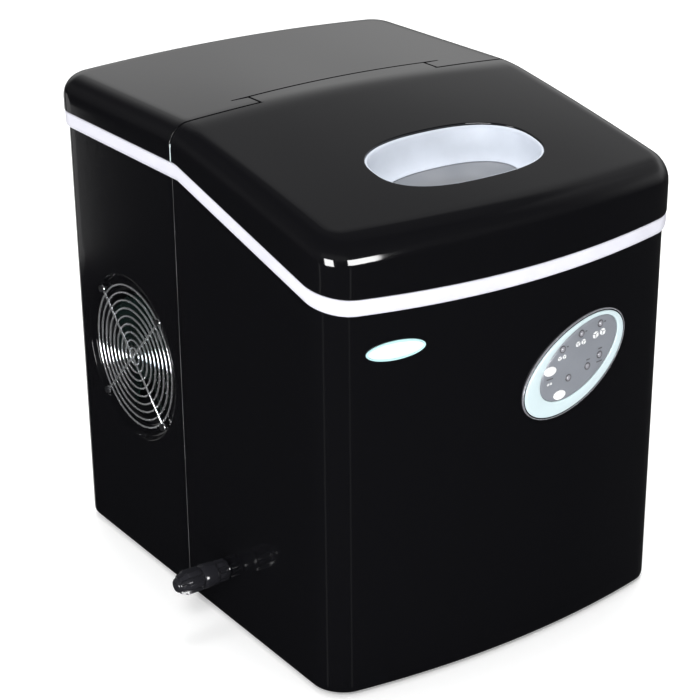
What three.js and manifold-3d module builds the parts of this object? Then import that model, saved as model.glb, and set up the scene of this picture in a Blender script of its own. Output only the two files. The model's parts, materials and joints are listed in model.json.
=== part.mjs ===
// Countertop ice maker: a bowed, gloss black casing with a pale trim band, a hinged lid with an oval
// window, a lift-out ice basket, a tilting water tray under a twelve-finger evaporator, and the
// compressor, condenser and fan that cool it. Millimetres, +Z up, front towards -Y.
// The casing is drawn about its own middle, with z = 0 at the bottom edge of its walls.
import * as THREE from "three";
import { mergeVertices } from "three/addons/utils/BufferGeometryUtils.js";
import Module from "manifold-3d";

const wasm = await Module();
wasm.setup();

// ---------------------------------------------------------------- driving dimensions
const HALF_WIDTH = 175; // outside of the casing's side walls
const END_Y = 206; // the rear wall is at +END_Y, and the front corners are at -END_Y
const FRONT_BOW = 19; // how far the middle of the front stands out beyond its corners
const BOW_FROM = -120; // the bow fades out between the front and this y
const BOW_FULL = -200;
const CORNER_R = 24; // vertical corners, and the top edges of the lid and rear cover
const WALL = 3; // casing wall
const CAP_WALL = 2.6; // lid and rear cover wall
const FOOT_HEIGHT = 5;
const GAP = 0.3; // between pieces that touch

const SHELL_SEAM_Y = 11; // front shell meets rear shell
const KINK_Y = 0; // the trim band is level behind this and slopes down in front of it
const BAND_TOP = 395;
const BAND_SLOPE = 0.254;
const BAND_HEIGHT = 14;
const BAND_PROUD = 3;
const CAP_PROUD = 3.5; // lid and rear cover stand this far outside the casing walls

const CREST_Z = 426.7; // top surface at the sides, before the crown
const CROWN = 5.3; // extra height along the middle
const CROWN_HALF = 157;
const LID_SLOPE = 0.168; // the lid falls away towards the front, in front of the kink
const LID_CURVE = 0.00014;
const LID_EASE = 14; // the top surface turns from level to sloping over this far each side of the kink

const LID_SEAM_Y = 7; // lid meets rear cover at the sides
const TONGUE_HALF = 91; // the middle of the lid reaches back as a hinge tongue
const TONGUE_Y = 26.5;
const TONGUE_BOW = 2;
const SEAM_HALF_GAP = 0.7;
const HINGE = { y: 19, z: 427.2 };
const PIN_R = 1.5;

const WINDOW = { y: -136, a: 80, b: 41.8, power: 2.5 };

const TUB = { x: 138, front: -183, rear: 19, floor: 73, wall: 3 };
const LEDGE = { z: 191, inset: 14 }; // the basket stands on this step
const BAY = { left: -92, right: 137, rear: 104, floor: 238 }; // holds the evaporator and water tray
const BASKET = { x: 130, front: -176, rear: -12, top: 325, rearTop: 280, wall: 2.4, corner: 26 };

const TRAY_AXIS = { y: 71, z: 322 };
const TRAY = { x: 78, front: 6, rear: 66, floor: 286, rim: 320, wall: 2.4 };
const SHOVEL_AXIS = { y: -3, z: 341 };
const FINGERS = { rows: [24, 50], perRow: 6, pitch: 23, r: 5, tip: 298, top: 336 };

const FAN = { y: 97.5, z: 192, hole: 62, dish: 75, dishDepth: 5, screws: 69.5 };
const DRAIN = { y: -51, z: 48 };
const PANEL = { x: 57.4, z: 239.4, a: 60.7, b: 35.5, turn: 24.6 };
const FACE = { x: 61.1, z: 243.7, a: 46.8, b: 26, turn: 26.7 };
const INDICATORS = [
  [83.5, 268.1],
  [61.7, 265.1],
  [41, 256.9],
  [48.4, 230.1],
  [70, 234.3],
  [84, 240.4],
];
const BUTTON = { a: 6.4, b: 3.9, select: [27.8, 241.3], power: [38.9, 217.7] };
const BADGE = { x: -118.2, z: 294, a: 25.1, b: 7.8 };
const GLAND = { x: 118, z: 42, r: 8.5, bore: 4.2, flange: 12, stands: 5 };
const DRAIN_REACH = 225; // tip of the drain cap, from the casing's middle

// ---------------------------------------------------------------- materials
const finish = (color, roughness, metalness = 0) =>
  new THREE.MeshStandardMaterial({ color, roughness, metalness });
const GLOSS_BLACK = finish(0x0b0b0d, 0.12);
const MATT_BLACK = finish(0x17171a, 0.55);
const TRIM_GREY = finish(0xdfe2ee, 0.35);
const LINER_WHITE = finish(0xdfe4ea, 0.4);
const BASKET_GREY = finish(0x9aa0a8, 0.45);
const CLEAR = finish(0xc8d0d8, 0.08);
const PANEL_AQUA = finish(0xd4efec, 0.35);
const PANEL_GREY = finish(0x85878d, 0.4);
const BUTTON_WHITE = finish(0xf4f4f2, 0.35);
const WIRE = finish(0xc9ccd0, 0.18, 1);
const NICKEL = finish(0xbfc2c4, 0.2, 1);
const COPPER = finish(0xb8703f, 0.3, 1);
const ALUMINIUM = finish(0xb9bcc0, 0.4, 1);
const STEEL = finish(0x8d9093, 0.5, 1);
const COMPRESSOR_BLACK = finish(0x1b1b1d, 0.4, 0.2);
const RUBBER = finish(0x161616, 0.8);
const FOAM = finish(0xefeee8, 0.9);
const BOARD_GREEN = finish(0x1f5a35, 0.6);
const HOSE = finish(0xd8dcdc, 0.4);

// ---------------------------------------------------------------- solids
function solid(geometry) {
  const bare = geometry.index ? geometry.toNonIndexed() : geometry.clone();
  for (const name of Object.keys(bare.attributes)) if (name !== "position") bare.deleteAttribute(name);
  const merged = mergeVertices(bare, 1e-4);
  const index = merged.index.array;
  const kept = [];
  for (let i = 0; i < index.length; i += 3) {
    const [a, b, c] = [index[i], index[i + 1], index[i + 2]];
    if (a !== b && b !== c && c !== a) kept.push(a, b, c);
  }
  return new wasm.Manifold(
    new wasm.Mesh({
      numProp: 3,
      vertProperties: merged.attributes.position.array,
      triVerts: new Uint32Array(kept),
    }),
  );
}

const joined = (...solids) => solids.reduce((sum, s) => sum.add(s));
const cut = (base, ...tools) => tools.reduce((rest, s) => rest.subtract(s), base);

function geometryOf(body) {
  const { vertProperties, triVerts } = body.getMesh();
  return new THREE.BufferGeometry()
    .setAttribute("position", new THREE.BufferAttribute(new Float32Array(vertProperties), 3))
    .setIndex(new THREE.BufferAttribute(new Uint32Array(triVerts), 1));
}

const machine = new THREE.Group();

function part(name, material, body) {
  const geometry = geometryOf(body);
  geometry.computeVertexNormals();
  const mesh = new THREE.Mesh(geometry, material);
  mesh.name = name;
  machine.add(mesh);
}

function block(x0, x1, y0, y1, z0, z1) {
  const shape = new THREE.BoxGeometry(x1 - x0, y1 - y0, z1 - z0);
  return solid(shape.translate((x0 + x1) / 2, (y0 + y1) / 2, (z0 + z1) / 2));
}

// A cylinder from one point to another.
function rod(from, to, radius, sides = 16) {
  const start = new THREE.Vector3(...from);
  const run = new THREE.Vector3(...to).sub(start);
  const shape = new THREE.CylinderGeometry(radius, radius, run.length(), sides);
  shape.applyQuaternion(
    new THREE.Quaternion().setFromUnitVectors(new THREE.Vector3(0, 1, 0), run.clone().normalize()),
  );
  const middle = start.addScaledVector(run, 0.5);
  return solid(shape.translate(middle.x, middle.y, middle.z));
}

// A turned shape: profile points are [radius, height] from the axis round and back to it.
function turned(profile, sides, place) {
  const shape = new THREE.LatheGeometry(
    profile.map(([r, h]) => new THREE.Vector2(r, h)),
    sides,
  );
  return solid(place(shape));
}
const upright = (x, y, z) => (g) => g.rotateX(Math.PI / 2).translate(x, y, z);

function extruded(points, depth) {
  const shape = new THREE.Shape(points.map(([u, v]) => new THREE.Vector2(u, v)));
  return new THREE.ExtrudeGeometry(shape, { depth, bevelEnabled: false });
}

// A plan outline raised from z0 to z1, a side outline (y, z) across x0 to x1, and a front
// outline (x, z) from y0 back to y1.
const raised = (points, z0, z1) => solid(extruded(points, z1 - z0).translate(0, 0, z0));
const across = (points, x0, x1) =>
  solid(extruded(points, x1 - x0).rotateX(Math.PI / 2).rotateZ(Math.PI / 2).translate(x0, 0, 0));
const deep = (points, y0, y1) =>
  solid(extruded(points, y1 - y0).rotateX(Math.PI / 2).translate(0, y1, 0));

function tube(points, radius, sides, steps) {
  const ring = [];
  for (let i = 0; i < sides; i++) {
    const turn = (2 * Math.PI * i) / sides;
    ring.push(new THREE.Vector2(radius * Math.cos(turn), radius * Math.sin(turn)));
  }
  const path = new THREE.CatmullRomCurve3(points.map((p) => new THREE.Vector3(...p)));
  return solid(new THREE.ExtrudeGeometry(new THREE.Shape(ring), { steps, extrudePath: path }));
}

// ---------------------------------------------------------------- outlines
const clamp = (v, low, high) => Math.min(high, Math.max(low, v));
const bowAt = (x) => FRONT_BOW * (1 - (x / HALF_WIDTH) ** 2);

// Moves a plan point of the square-fronted casing to its place on the bowed one.
function bowed(x, y) {
  const t = clamp((BOW_FROM - y) / (BOW_FROM - BOW_FULL), 0, 1);
  return y - bowAt(x) * t * t * (3 - 2 * t);
}
const frontY = (x) => -END_Y - bowAt(x);

const bandTop = (y) => BAND_TOP - BAND_SLOPE * Math.max(0, KINK_Y - y);

function topZ(x, y) {
  const past = KINK_Y - y;
  const ahead = Math.abs(past) < LID_EASE ? (past + LID_EASE) ** 2 / (4 * LID_EASE) : Math.max(0, past);
  const crown = CROWN * (1 - (x / CROWN_HALF) ** 2);
  return CREST_Z + crown - LID_SLOPE * ahead - LID_CURVE * ahead * ahead;
}

const FRONT_STEPS = 12;
const CORNER_STEPS = 5;

// The casing's plan outline, moved outwards by offset, anticlockwise from the rear right.
function casingOutline(offset) {
  const radius = CORNER_R + offset;
  const cx = HALF_WIDTH - CORNER_R;
  const cy = END_Y - CORNER_R;
  const points = [];
  const corner = (x, y, from) => {
    for (let i = 0; i <= CORNER_STEPS; i++) {
      const turn = ((from + (90 * i) / CORNER_STEPS) * Math.PI) / 180;
      points.push([x + radius * Math.cos(turn), y + radius * Math.sin(turn)]);
    }
  };
  corner(cx, cy, 0);
  corner(-cx, cy, 90);
  corner(-cx, -cy, 180);
  for (let i = 1; i < FRONT_STEPS; i++) points.push([-cx + (2 * cx * i) / FRONT_STEPS, -END_Y - offset]);
  corner(cx, -cy, 270);
  return points.map(([x, y]) => [x, bowed(x, y)]);
}

function roundedBox(x0, x1, y0, y1, radius, steps = 4) {
  const points = [];
  const corners = [
    [x1 - radius, y1 - radius, 0],
    [x0 + radius, y1 - radius, 90],
    [x0 + radius, y0 + radius, 180],
    [x1 - radius, y0 + radius, 270],
  ];
  for (const [x, y, from] of corners)
    for (let i = 0; i <= steps; i++) {
      const turn = ((from + (90 * i) / steps) * Math.PI) / 180;
      points.push([x + radius * Math.cos(turn), y + radius * Math.sin(turn)]);
    }
  return points;
}

function superellipse(a, b, power, cx, cy, steps) {
  const points = [];
  for (let i = 0; i < steps; i++) {
    const turn = (2 * Math.PI * i) / steps;
    const [c, s] = [Math.cos(turn), Math.sin(turn)];
    points.push([
      cx + a * Math.sign(c) * Math.abs(c) ** (2 / power),
      cy + b * Math.sign(s) * Math.abs(s) ** (2 / power),
    ]);
  }
  return points;
}

function turnedEllipse({ x, z, a, b, turn = 0 }, grow, steps) {
  const [c, s] = [Math.cos((turn * Math.PI) / 180), Math.sin((turn * Math.PI) / 180)];
  return superellipse(a + grow, b + grow, 2, 0, 0, steps).map(([u, v]) => [x + u * c - v * s, z + u * s + v * c]);
}

// A plate between two surfaces over an outline, built from rings shrinking to its middle.
// place(u, v, level) gives the point at the low (0) or high (1) surface.
function ringedPlate(outline, rings, place) {
  const n = outline.length;
  const [mu, mv] = outline.reduce(([a, b], [u, v]) => [a + u / n, b + v / n], [0, 0]);
  const positions = [];
  const at = (ring, i, level) => {
    const [u, v] = outline[(i + n) % n];
    return place(mu + ((u - mu) * ring) / rings, mv + ((v - mv) * ring) / rings, level);
  };
  const face = (...points) => points.forEach((p) => positions.push(...p));
  for (let i = 0; i < n; i++) {
    for (let ring = 0; ring < rings; ring++) {
      for (const level of [0, 1]) {
        const quad = [at(ring, i, level), at(ring + 1, i, level), at(ring + 1, i + 1, level), at(ring, i + 1, level)];
        if (level === 0) quad.reverse();
        face(quad[0], quad[1], quad[2], quad[0], quad[2], quad[3]);
      }
    }
    const rim = [at(rings, i, 0), at(rings, i + 1, 0), at(rings, i + 1, 1), at(rings, i, 1)];
    face(rim[0], rim[1], rim[2], rim[0], rim[2], rim[3]);
  }
  const shape = new THREE.BufferGeometry();
  shape.setAttribute("position", new THREE.BufferAttribute(new Float32Array(positions), 3));
  return solid(shape);
}

// A solid through closed rings of equal count, lowest first, capped at both ends.
function lofted(rings) {
  const positions = [];
  const n = rings[0].length;
  const middle = (ring) => [0, 1, 2].map((k) => ring.reduce((sum, p) => sum + p[k] / n, 0));
  const cap = (ring, flip) => {
    const centre = middle(ring);
    for (let i = 0; i < n; i++) {
      const [p, q] = flip ? [ring[(i + 1) % n], ring[i]] : [ring[i], ring[(i + 1) % n]];
      positions.push(...p, ...q, ...centre);
    }
  };
  cap(rings[0], true);
  cap(rings[rings.length - 1], false);
  for (let k = 0; k + 1 < rings.length; k++)
    for (let i = 0; i < n; i++) {
      const j = (i + 1) % n;
      const [a, b, c, d] = [rings[k][i], rings[k][j], rings[k + 1][j], rings[k + 1][i]];
      positions.push(...a, ...b, ...c, ...a, ...c, ...d);
    }
  const shape = new THREE.BufferGeometry();
  shape.setAttribute("position", new THREE.BufferAttribute(new Float32Array(positions), 3));
  return solid(shape);
}

// A plate on the bowed front: depths are measured inwards from the casing's outer face.
const frontPlate = (outline, inner, outer, rings = 4) =>
  ringedPlate(outline, rings, (x, z, level) => [x, frontY(x) + (level ? outer : inner), z]);

// ---------------------------------------------------------------- lid and rear cover
const CAP_ROWS = [28, 14, 7, 0, -7, -14, -45, -80, -120, -160, -182];
const CAP_COLUMNS = 8;
const CAP_ROUND_STEPS = 4;

// A closed, round-edged cap over the whole casing: grow moves its sides outwards, drop lowers
// its top, and bottom(y) is its lower edge.
function cap(grow, drop, bottom) {
  const cx = HALF_WIDTH - CORNER_R;
  const cy = END_Y - CORNER_R;
  const radius = CORNER_R + grow;
  const columns = [];
  for (let i = 0; i <= CAP_COLUMNS; i++) columns.push(-cx + (2 * cx * i) / CAP_COLUMNS);
  const rows = [cy, 120, ...CAP_ROWS]; // rear to front
  const rim = []; // [x, y, outward x, outward y], anticlockwise seen from above
  const corner = (x, y, from) => {
    for (let i = 0; i <= CORNER_STEPS; i++) {
      const turn = ((from + (90 * i) / CORNER_STEPS) * Math.PI) / 180;
      rim.push([x, y, Math.cos(turn), Math.sin(turn)]);
    }
  };
  const inside = (list) => list.slice(1, -1);
  corner(cx, cy, 0);
  for (const x of inside([...columns].reverse())) rim.push([x, cy, 0, 1]);
  corner(-cx, cy, 90);
  for (const y of inside(rows)) rim.push([-cx, y, -1, 0]);
  corner(-cx, -cy, 180);
  for (const x of inside(columns)) rim.push([x, -cy, 0, -1]);
  corner(cx, -cy, 270);
  for (const y of inside([...rows].reverse())) rim.push([cx, y, 1, 0]);

  const point = (x, y, height) => {
    const by = bowed(x, y);
    return [x, by, height(x, by)];
  };
  const rings = [{ r: radius, height: (x, y) => bottom(y) }];
  for (let i = 0; i <= CAP_ROUND_STEPS; i++) {
    const turn = (Math.PI / 2) * (i / CAP_ROUND_STEPS);
    rings.push({
      r: radius * Math.cos(turn),
      height: (x, y) => topZ(x, y) - drop - radius * (1 - Math.sin(turn)),
    });
  }
  rings[rings.length - 1].r = 0;
  const positions = [];
  const quad = (a, b, c, d) => positions.push(...a, ...b, ...c, ...a, ...c, ...d);
  const onRim = ({ r, height }, i) => {
    const [x, y, ox, oy] = rim[(i + rim.length) % rim.length];
    return point(x + r * ox, y + r * oy, height);
  };
  for (let i = 0; i < rim.length; i++) {
    for (let k = 0; k + 1 < rings.length; k++)
      quad(onRim(rings[k], i), onRim(rings[k], i + 1), onRim(rings[k + 1], i + 1), onRim(rings[k + 1], i));
    const under = { r: 0, height: rings[0].height };
    quad(onRim(under, i), onRim(under, i + 1), onRim(rings[0], i + 1), onRim(rings[0], i));
  }
  const top = rings[rings.length - 1].height;
  for (let i = 0; i + 1 < columns.length; i++)
    for (let j = 0; j + 1 < rows.length; j++) {
      const cell = [
        [columns[i], rows[j + 1]],
        [columns[i + 1], rows[j + 1]],
        [columns[i + 1], rows[j]],
        [columns[i], rows[j]],
      ];
      quad(...cell.map(([x, y]) => point(x, y, top)));
      quad(...cell.map(([x, y]) => point(x, y, rings[0].height)).reverse());
    }
  const shape = new THREE.BufferGeometry();
  shape.setAttribute("position", new THREE.BufferAttribute(new Float32Array(positions), 3));
  return solid(shape);
}

// The plan region in front of the lid's seam, moved forwards by gap.
function lidRegion(gap) {
  const side = HALF_WIDTH + 20;
  const half = TONGUE_HALF - gap;
  const points = [
    [-side, -END_Y - 60],
    [side, -END_Y - 60],
    [side, LID_SEAM_Y - gap],
    [half, LID_SEAM_Y - gap],
  ];
  for (let i = 0; i <= 8; i++) {
    const x = half - (2 * half * i) / 8;
    points.push([x, TONGUE_Y - gap + TONGUE_BOW * (1 - (x / half) ** 2)]);
  }
  points.push([-half, LID_SEAM_Y - gap], [-side, LID_SEAM_Y - gap]);
  return raised(points, 300, 460);
}

const RIB_FOOT = 407; // the edge ribs along the seam end here
const RIB = 2.4;

function makeTop() {
  const outer = cap(CAP_PROUD, 0, (y) => bandTop(y) + GAP);
  const hollow = cap(CAP_PROUD - CAP_WALL, CAP_WALL, (y) => bandTop(y) - 20);
  const shell = outer.subtract(hollow);
  const front = lidRegion(SEAM_HALF_GAP);
  const behind = lidRegion(-SEAM_HALF_GAP);
  const aboveRibs = block(-190, 190, -60, 60, RIB_FOOT, 460);
  const lidRibs = outer
    .intersect(front.subtract(lidRegion(SEAM_HALF_GAP + RIB)))
    .intersect(aboveRibs)
    .subtract(block(-TONGUE_HALF + 5, TONGUE_HALF - 5, HINGE.y - 4, 60, 400, HINGE.z - 6));
  const coverRibs = outer.intersect(lidRegion(-SEAM_HALF_GAP - RIB).subtract(behind)).intersect(aboveRibs);
  const knuckle = (side, from, to) => {
    const [x0, x1] = side > 0 ? [from, to] : [-to, -from];
    return outer.intersect(block(x0, x1, HINGE.y - 4, HINGE.y + 4, HINGE.z - 5, HINGE.z + 8));
  };
  const pinHole = (side) => rod([side * 80, HINGE.y, HINGE.z], [side * 107, HINGE.y, HINGE.z], PIN_R + GAP, 12);
  const window = raised(
    superellipse(WINDOW.a, WINDOW.b, WINDOW.power, 0, WINDOW.y, 40),
    300,
    460,
  );
  const sides = [-1, 1];
  const lidHalf = TONGUE_HALF - SEAM_HALF_GAP;
  const coverHalf = TONGUE_HALF + SEAM_HALF_GAP;
  const lid = cut(
    joined(shell.intersect(front), lidRibs, ...sides.map((s) => knuckle(s, lidHalf - 12, lidHalf))),
    window,
    ...sides.map(pinHole),
  );
  const slit = (s) =>
    block(...(s > 0 ? [coverHalf, coverHalf + 14] : [-coverHalf - 14, -coverHalf]), 26.6, 27.8, 421, 460);
  const cover = cut(
    joined(shell.subtract(behind), coverRibs, ...sides.map((s) => knuckle(s, coverHalf, coverHalf + 14))),
    ...sides.map(pinHole),
    ...sides.map(slit),
  );
  part("lid", GLOSS_BLACK, lid);
  part("rear_cover", GLOSS_BLACK, cover);
  for (const [side, label] of [[-1, "left"], [1, "right"]])
    part(
      `hinge_pin_${label}`,
      STEEL,
      rod([side * 81, HINGE.y, HINGE.z], [side * 105, HINGE.y, HINGE.z], PIN_R, 10),
    );
}

// The window is a pale well that narrows downwards to a clear lens, and follows the lid's top.
// Each ring of the well is [growth of the window's outline, depth below the lid's top].
function makeWindow() {
  const steps = 32;
  const ringAt = ([grow, depth]) =>
    superellipse(WINDOW.a + grow, WINDOW.b + grow, WINDOW.power, 0, WINDOW.y, steps).map(([x, y]) => [
      x,
      y,
      topZ(x, y) - depth,
    ]);
  const stack = (...rings) => lofted(rings.map(ringAt));
  const outside = stack([-11.5, 29.5], [1.2, 6], [7, 5.6], [7, 3.1]);
  const inside = stack([-13.6, 27.4], [-1.2, 3.1], [-1.2, -2]);
  const lightHole = stack([-18, 33], [-18, 20]);
  part("window_frame", LINER_WHITE, outside.subtract(inside).subtract(lightHole));
  part("lid_window", CLEAR, stack([-14.3, 27.1], [-14.3, 25.1]));
}

// ---------------------------------------------------------------- casing
const bandUnder = (y) => bandTop(y) - BAND_HEIGHT;
const ring = (outerOffset, innerOffset, z0, z1) =>
  raised(casingOutline(outerOffset), z0, z1).subtract(raised(casingOutline(innerOffset), z0 - 5, z1 + 5));

function grilleScrews() {
  const places = [];
  for (const turn of [45, 135, 225, 315]) {
    const a = (turn * Math.PI) / 180;
    places.push([FAN.y + FAN.screws * Math.cos(a), FAN.z + FAN.screws * Math.sin(a)]);
  }
  return places;
}

function makeCasing() {
  const far = END_Y + 60;
  const walls = ring(0, -WALL, 0, 420);
  const belowBand = (y0, y1) =>
    across(
      [
        [y0, -10],
        [y1, -10],
        [y1, bandUnder(y1) - GAP],
        ...(y0 < KINK_Y && y1 > KINK_Y ? [[KINK_Y, bandUnder(KINK_Y) - GAP]] : []),
        [y0, bandUnder(y0) - GAP],
      ],
      -200,
      200,
    );
  const panelHole = deep(turnedEllipse(PANEL, -4, 32), -far, -150);
  const drainHole = rod([-190, DRAIN.y, DRAIN.z], [-160, DRAIN.y, DRAIN.z], 7.3, 16);
  part(
    "front_shell",
    GLOSS_BLACK,
    cut(walls.intersect(belowBand(-far, SHELL_SEAM_Y - GAP)), panelHole, drainHole),
  );

  const dishBoss = rod([-HALF_WIDTH + 1, FAN.y, FAN.z], [-HALF_WIDTH + 8, FAN.y, FAN.z], FAN.dish + 3, 32);
  const dish = new THREE.CylinderGeometry(FAN.dish - 2.5, FAN.dish, FAN.dishDepth, 32);
  const dishCut = solid(
    dish.rotateZ(-Math.PI / 2).translate(-HALF_WIDTH + FAN.dishDepth / 2 - 0.01, FAN.y, FAN.z),
  );
  const fanHole = rod([-190, FAN.y, FAN.z], [-150, FAN.y, FAN.z], FAN.hole, 32);
  const posts = grilleScrews().map(([y, z]) => rod([-169, y, z], [-171.9, y, z], 3, 10));
  const pilots = grilleScrews().map(([y, z]) => rod([-180, y, z], [-160, y, z], 1.8, 8));
  const slots = [];
  for (let i = 0; i < 9; i++) {
    const z = 130 + i * 15;
    slots.push(block(HALF_WIDTH - 10, HALF_WIDTH + 10, 48, 148, z, z + 5));
    slots.push(block(-70, 70, END_Y - 10, END_Y + 10, z + 40, z + 45));
  }
  const glandHole = rod([GLAND.x, END_Y - 10, GLAND.z], [GLAND.x, END_Y + 10, GLAND.z], GLAND.r + GAP, 16);
  part(
    "rear_shell",
    GLOSS_BLACK,
    cut(
      walls.intersect(belowBand(SHELL_SEAM_Y + GAP, far)).add(dishBoss).subtract(dishCut).add(joined(...posts)),
      fanHole,
      ...pilots,
      ...slots,
      glandHole,
    ),
  );

  const bandSide = across(
    [
      [far, BAND_TOP],
      [KINK_Y, BAND_TOP],
      [-far, bandTop(-far)],
      [-far, bandUnder(-far)],
      [KINK_Y, bandUnder(KINK_Y)],
      [far, bandUnder(far)],
    ],
    -200,
    200,
  );
  part("trim_band", TRIM_GREY, ring(BAND_PROUD, -7, 300, 420).intersect(bandSide));

  const pan = raised(casingOutline(-WALL - 0.5), 0, 2.5);
  part("base_pan", STEEL, pan);
  for (const [label, x, y] of [
    ["front_left", -125, -165],
    ["front_right", 125, -165],
    ["rear_left", -125, 160],
    ["rear_right", 125, 160],
  ]) {
    const profile = [
      [0, -FOOT_HEIGHT],
      [14, -FOOT_HEIGHT],
      [16, -GAP],
      [0, -GAP],
    ];
    part(`foot_${label}`, RUBBER, turned(profile, 16, upright(x, y, 0)));
  }
  part("badge", BUTTON_WHITE, frontPlate(turnedEllipse(BADGE, 0, 24), -GAP, -1.6, 2));
}

function makeGland() {
  const { x, z, r, bore, flange, stands } = GLAND;
  const y = END_Y + GAP;
  const body = joined(
    rod([x, y, z], [x, END_Y + stands, z], flange, 16),
    rod([x, END_Y - 14, z], [x, END_Y + 2, z], r, 16),
  );
  part("cord_gland", RUBBER, body.subtract(rod([x, END_Y - 20, z], [x, END_Y + 20, z], bore, 12)));
}

// ---------------------------------------------------------------- control panel
function makePanel() {
  const through = (shape, grow) => deep(turnedEllipse(shape, grow, 12), -300, -150);
  const round = ([x, z], r) => ({ x, z, a: r, b: r });
  const face = { ...FACE };
  const bezel = joined(
    frontPlate(turnedEllipse(PANEL, 0, 32), -GAP, -2.6, 3),
    frontPlate(turnedEllipse(PANEL, -4.6, 32), 6, -1, 3),
  ).subtract(deep(turnedEllipse(face, 0.3, 28), -300, -150));
  part("control_bezel", PANEL_AQUA, bezel);

  const buttonShape = ([x, z], grow) => ({ x, z, a: BUTTON.a + grow, b: BUTTON.b + grow });
  const faceplate = cut(
    frontPlate(turnedEllipse(face, 0, 28), 1.4, -1.6, 3),
    ...INDICATORS.map((p) => through(round(p, 2.9), 0)),
    through(buttonShape(BUTTON.select, 0.4), 0),
    through(buttonShape(BUTTON.power, 0.4), 0),
  );
  part("control_faceplate", PANEL_GREY, faceplate);

  for (const [label, at] of [["select", BUTTON.select], ["power", BUTTON.power]])
    part(
      `${label}_button`,
      BUTTON_WHITE,
      frontPlate(superellipse(BUTTON.a, BUTTON.b, 2, ...at, 16), 3, -3.2, 2),
    );

  const lenses = INDICATORS.map(([x, z]) => frontPlate(superellipse(2.5, 2.5, 2, x, z, 12), 3.4, -1.9, 1));
  const guide = frontPlate(
    [
      [38.5, 253],
      [45, 227],
      [52, 226.5],
      [73, 231],
      [88, 238],
      [88, 271],
      [60, 269],
      [41, 260.3],
    ],
    5,
    3.2,
    2,
  );
  part("indicator_lenses", CLEAR, joined(guide, ...lenses));

  const board = frontPlate(turnedEllipse(FACE, -3, 24), 9.6, 8, 3);
  const switches = [BUTTON.select, BUTTON.power].map(([x, z]) => {
    const y = frontY(x);
    return block(x - 3, x + 3, y + 4.8, y + 8.6, z - 3, z + 3);
  });
  part("control_board", BOARD_GREEN, joined(board, ...switches));
}

// ---------------------------------------------------------------- tub, basket and ice
function makeTub() {
  const { x, front, rear, floor, wall } = TUB;
  const flangeZ = (y) => bandTop(y) - 3;
  const sloped = (drop, y0, y1) =>
    across(
      [
        [y0, -10],
        [y1, -10],
        [y1, flangeZ(y1) - drop],
        [KINK_Y, flangeZ(KINK_Y) - drop],
        [y0, flangeZ(y0) - drop],
      ],
      -200,
      200,
    );
  const flange = raised(casingOutline(-8), 300, 420)
    .intersect(sloped(0, -300, BAY.rear + 14))
    .subtract(sloped(3, -310, BAY.rear + 20));
  const deepOuter = raised(roundedBox(-x - wall, x + wall, front - wall, rear + wall, 22), floor - wall, 420);
  const bayOuter = block(BAY.left - wall, BAY.right + wall + 1, 0, BAY.rear + wall, BAY.floor - wall, 420);
  const below = sloped(0, -300, 300);
  const deepInner = raised(roundedBox(-x, x, front, rear, 19), LEDGE.z, 440);
  const { inset } = LEDGE;
  const reservoir = raised(roundedBox(-x + inset, x - inset, front + inset, rear, 12), floor, 440);
  const bayInner = block(BAY.left, BAY.right, 0, BAY.rear, BAY.floor, 440);
  const spout = rod([-96, DRAIN.y, floor - 16], [-96, DRAIN.y, floor + 1], 6, 12);
  const spoutBore = rod([-96, DRAIN.y, floor - 30], [-96, DRAIN.y, floor + 20], 4, 12);
  const tub = cut(
    joined(deepOuter, bayOuter).intersect(below).add(flange).add(spout),
    deepInner,
    reservoir,
    bayInner,
    spoutBore,
  );
  part("inner_tub", LINER_WHITE, tub);

  const foam = cut(
    block(-158, 158, -198, 31, 57, 228),
    raised(roundedBox(-x - wall - 1, x + wall + 1, front - wall - 1, rear + wall + 1, 12), floor - wall - 1, 300),
    block(-110, -84, DRAIN.y - 14, DRAIN.y + 14, 40, 90),
  );
  part("tub_insulation", FOAM, foam);

  for (const [label, side] of [["emitter", -1], ["receiver", 1]]) {
    const x0 = side > 0 ? x - 4 : -x + GAP;
    part(`ice_sensor_${label}`, MATT_BLACK, block(x0, x0 + 4 - GAP, -104, -88, 326, 340));
  }
}

function makeBasket() {
  const { x, front, rear, top, rearTop, wall, corner } = BASKET;
  const floor = LEDGE.z + GAP;
  const outer = raised(roundedBox(-x, x, front, rear, corner), floor, top);
  const inner = raised(roundedBox(-x + wall, x - wall, front + wall, rear - wall, corner - wall), floor + wall, 400);
  const lip = raised(roundedBox(-x - 3.5, x + 3.5, front - 3.5, rear + 3.5, corner + 3.5), top - 3, top);
  const lowRear = across(
    [
      [rear - 58, top + 10],
      [rear - 36, rearTop],
      [rear + 10, rearTop],
      [rear + 10, top + 10],
    ],
    -160,
    160,
  );
  const slots = [];
  for (let i = -4; i <= 4; i++) slots.push(block(i * 24 - 3, i * 24 + 3, front + 26, rear - 26, floor - 5, floor + 10));
  part("ice_basket", BASKET_GREY, cut(outer.add(lip), inner, lowRear, ...slots));
}

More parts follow.
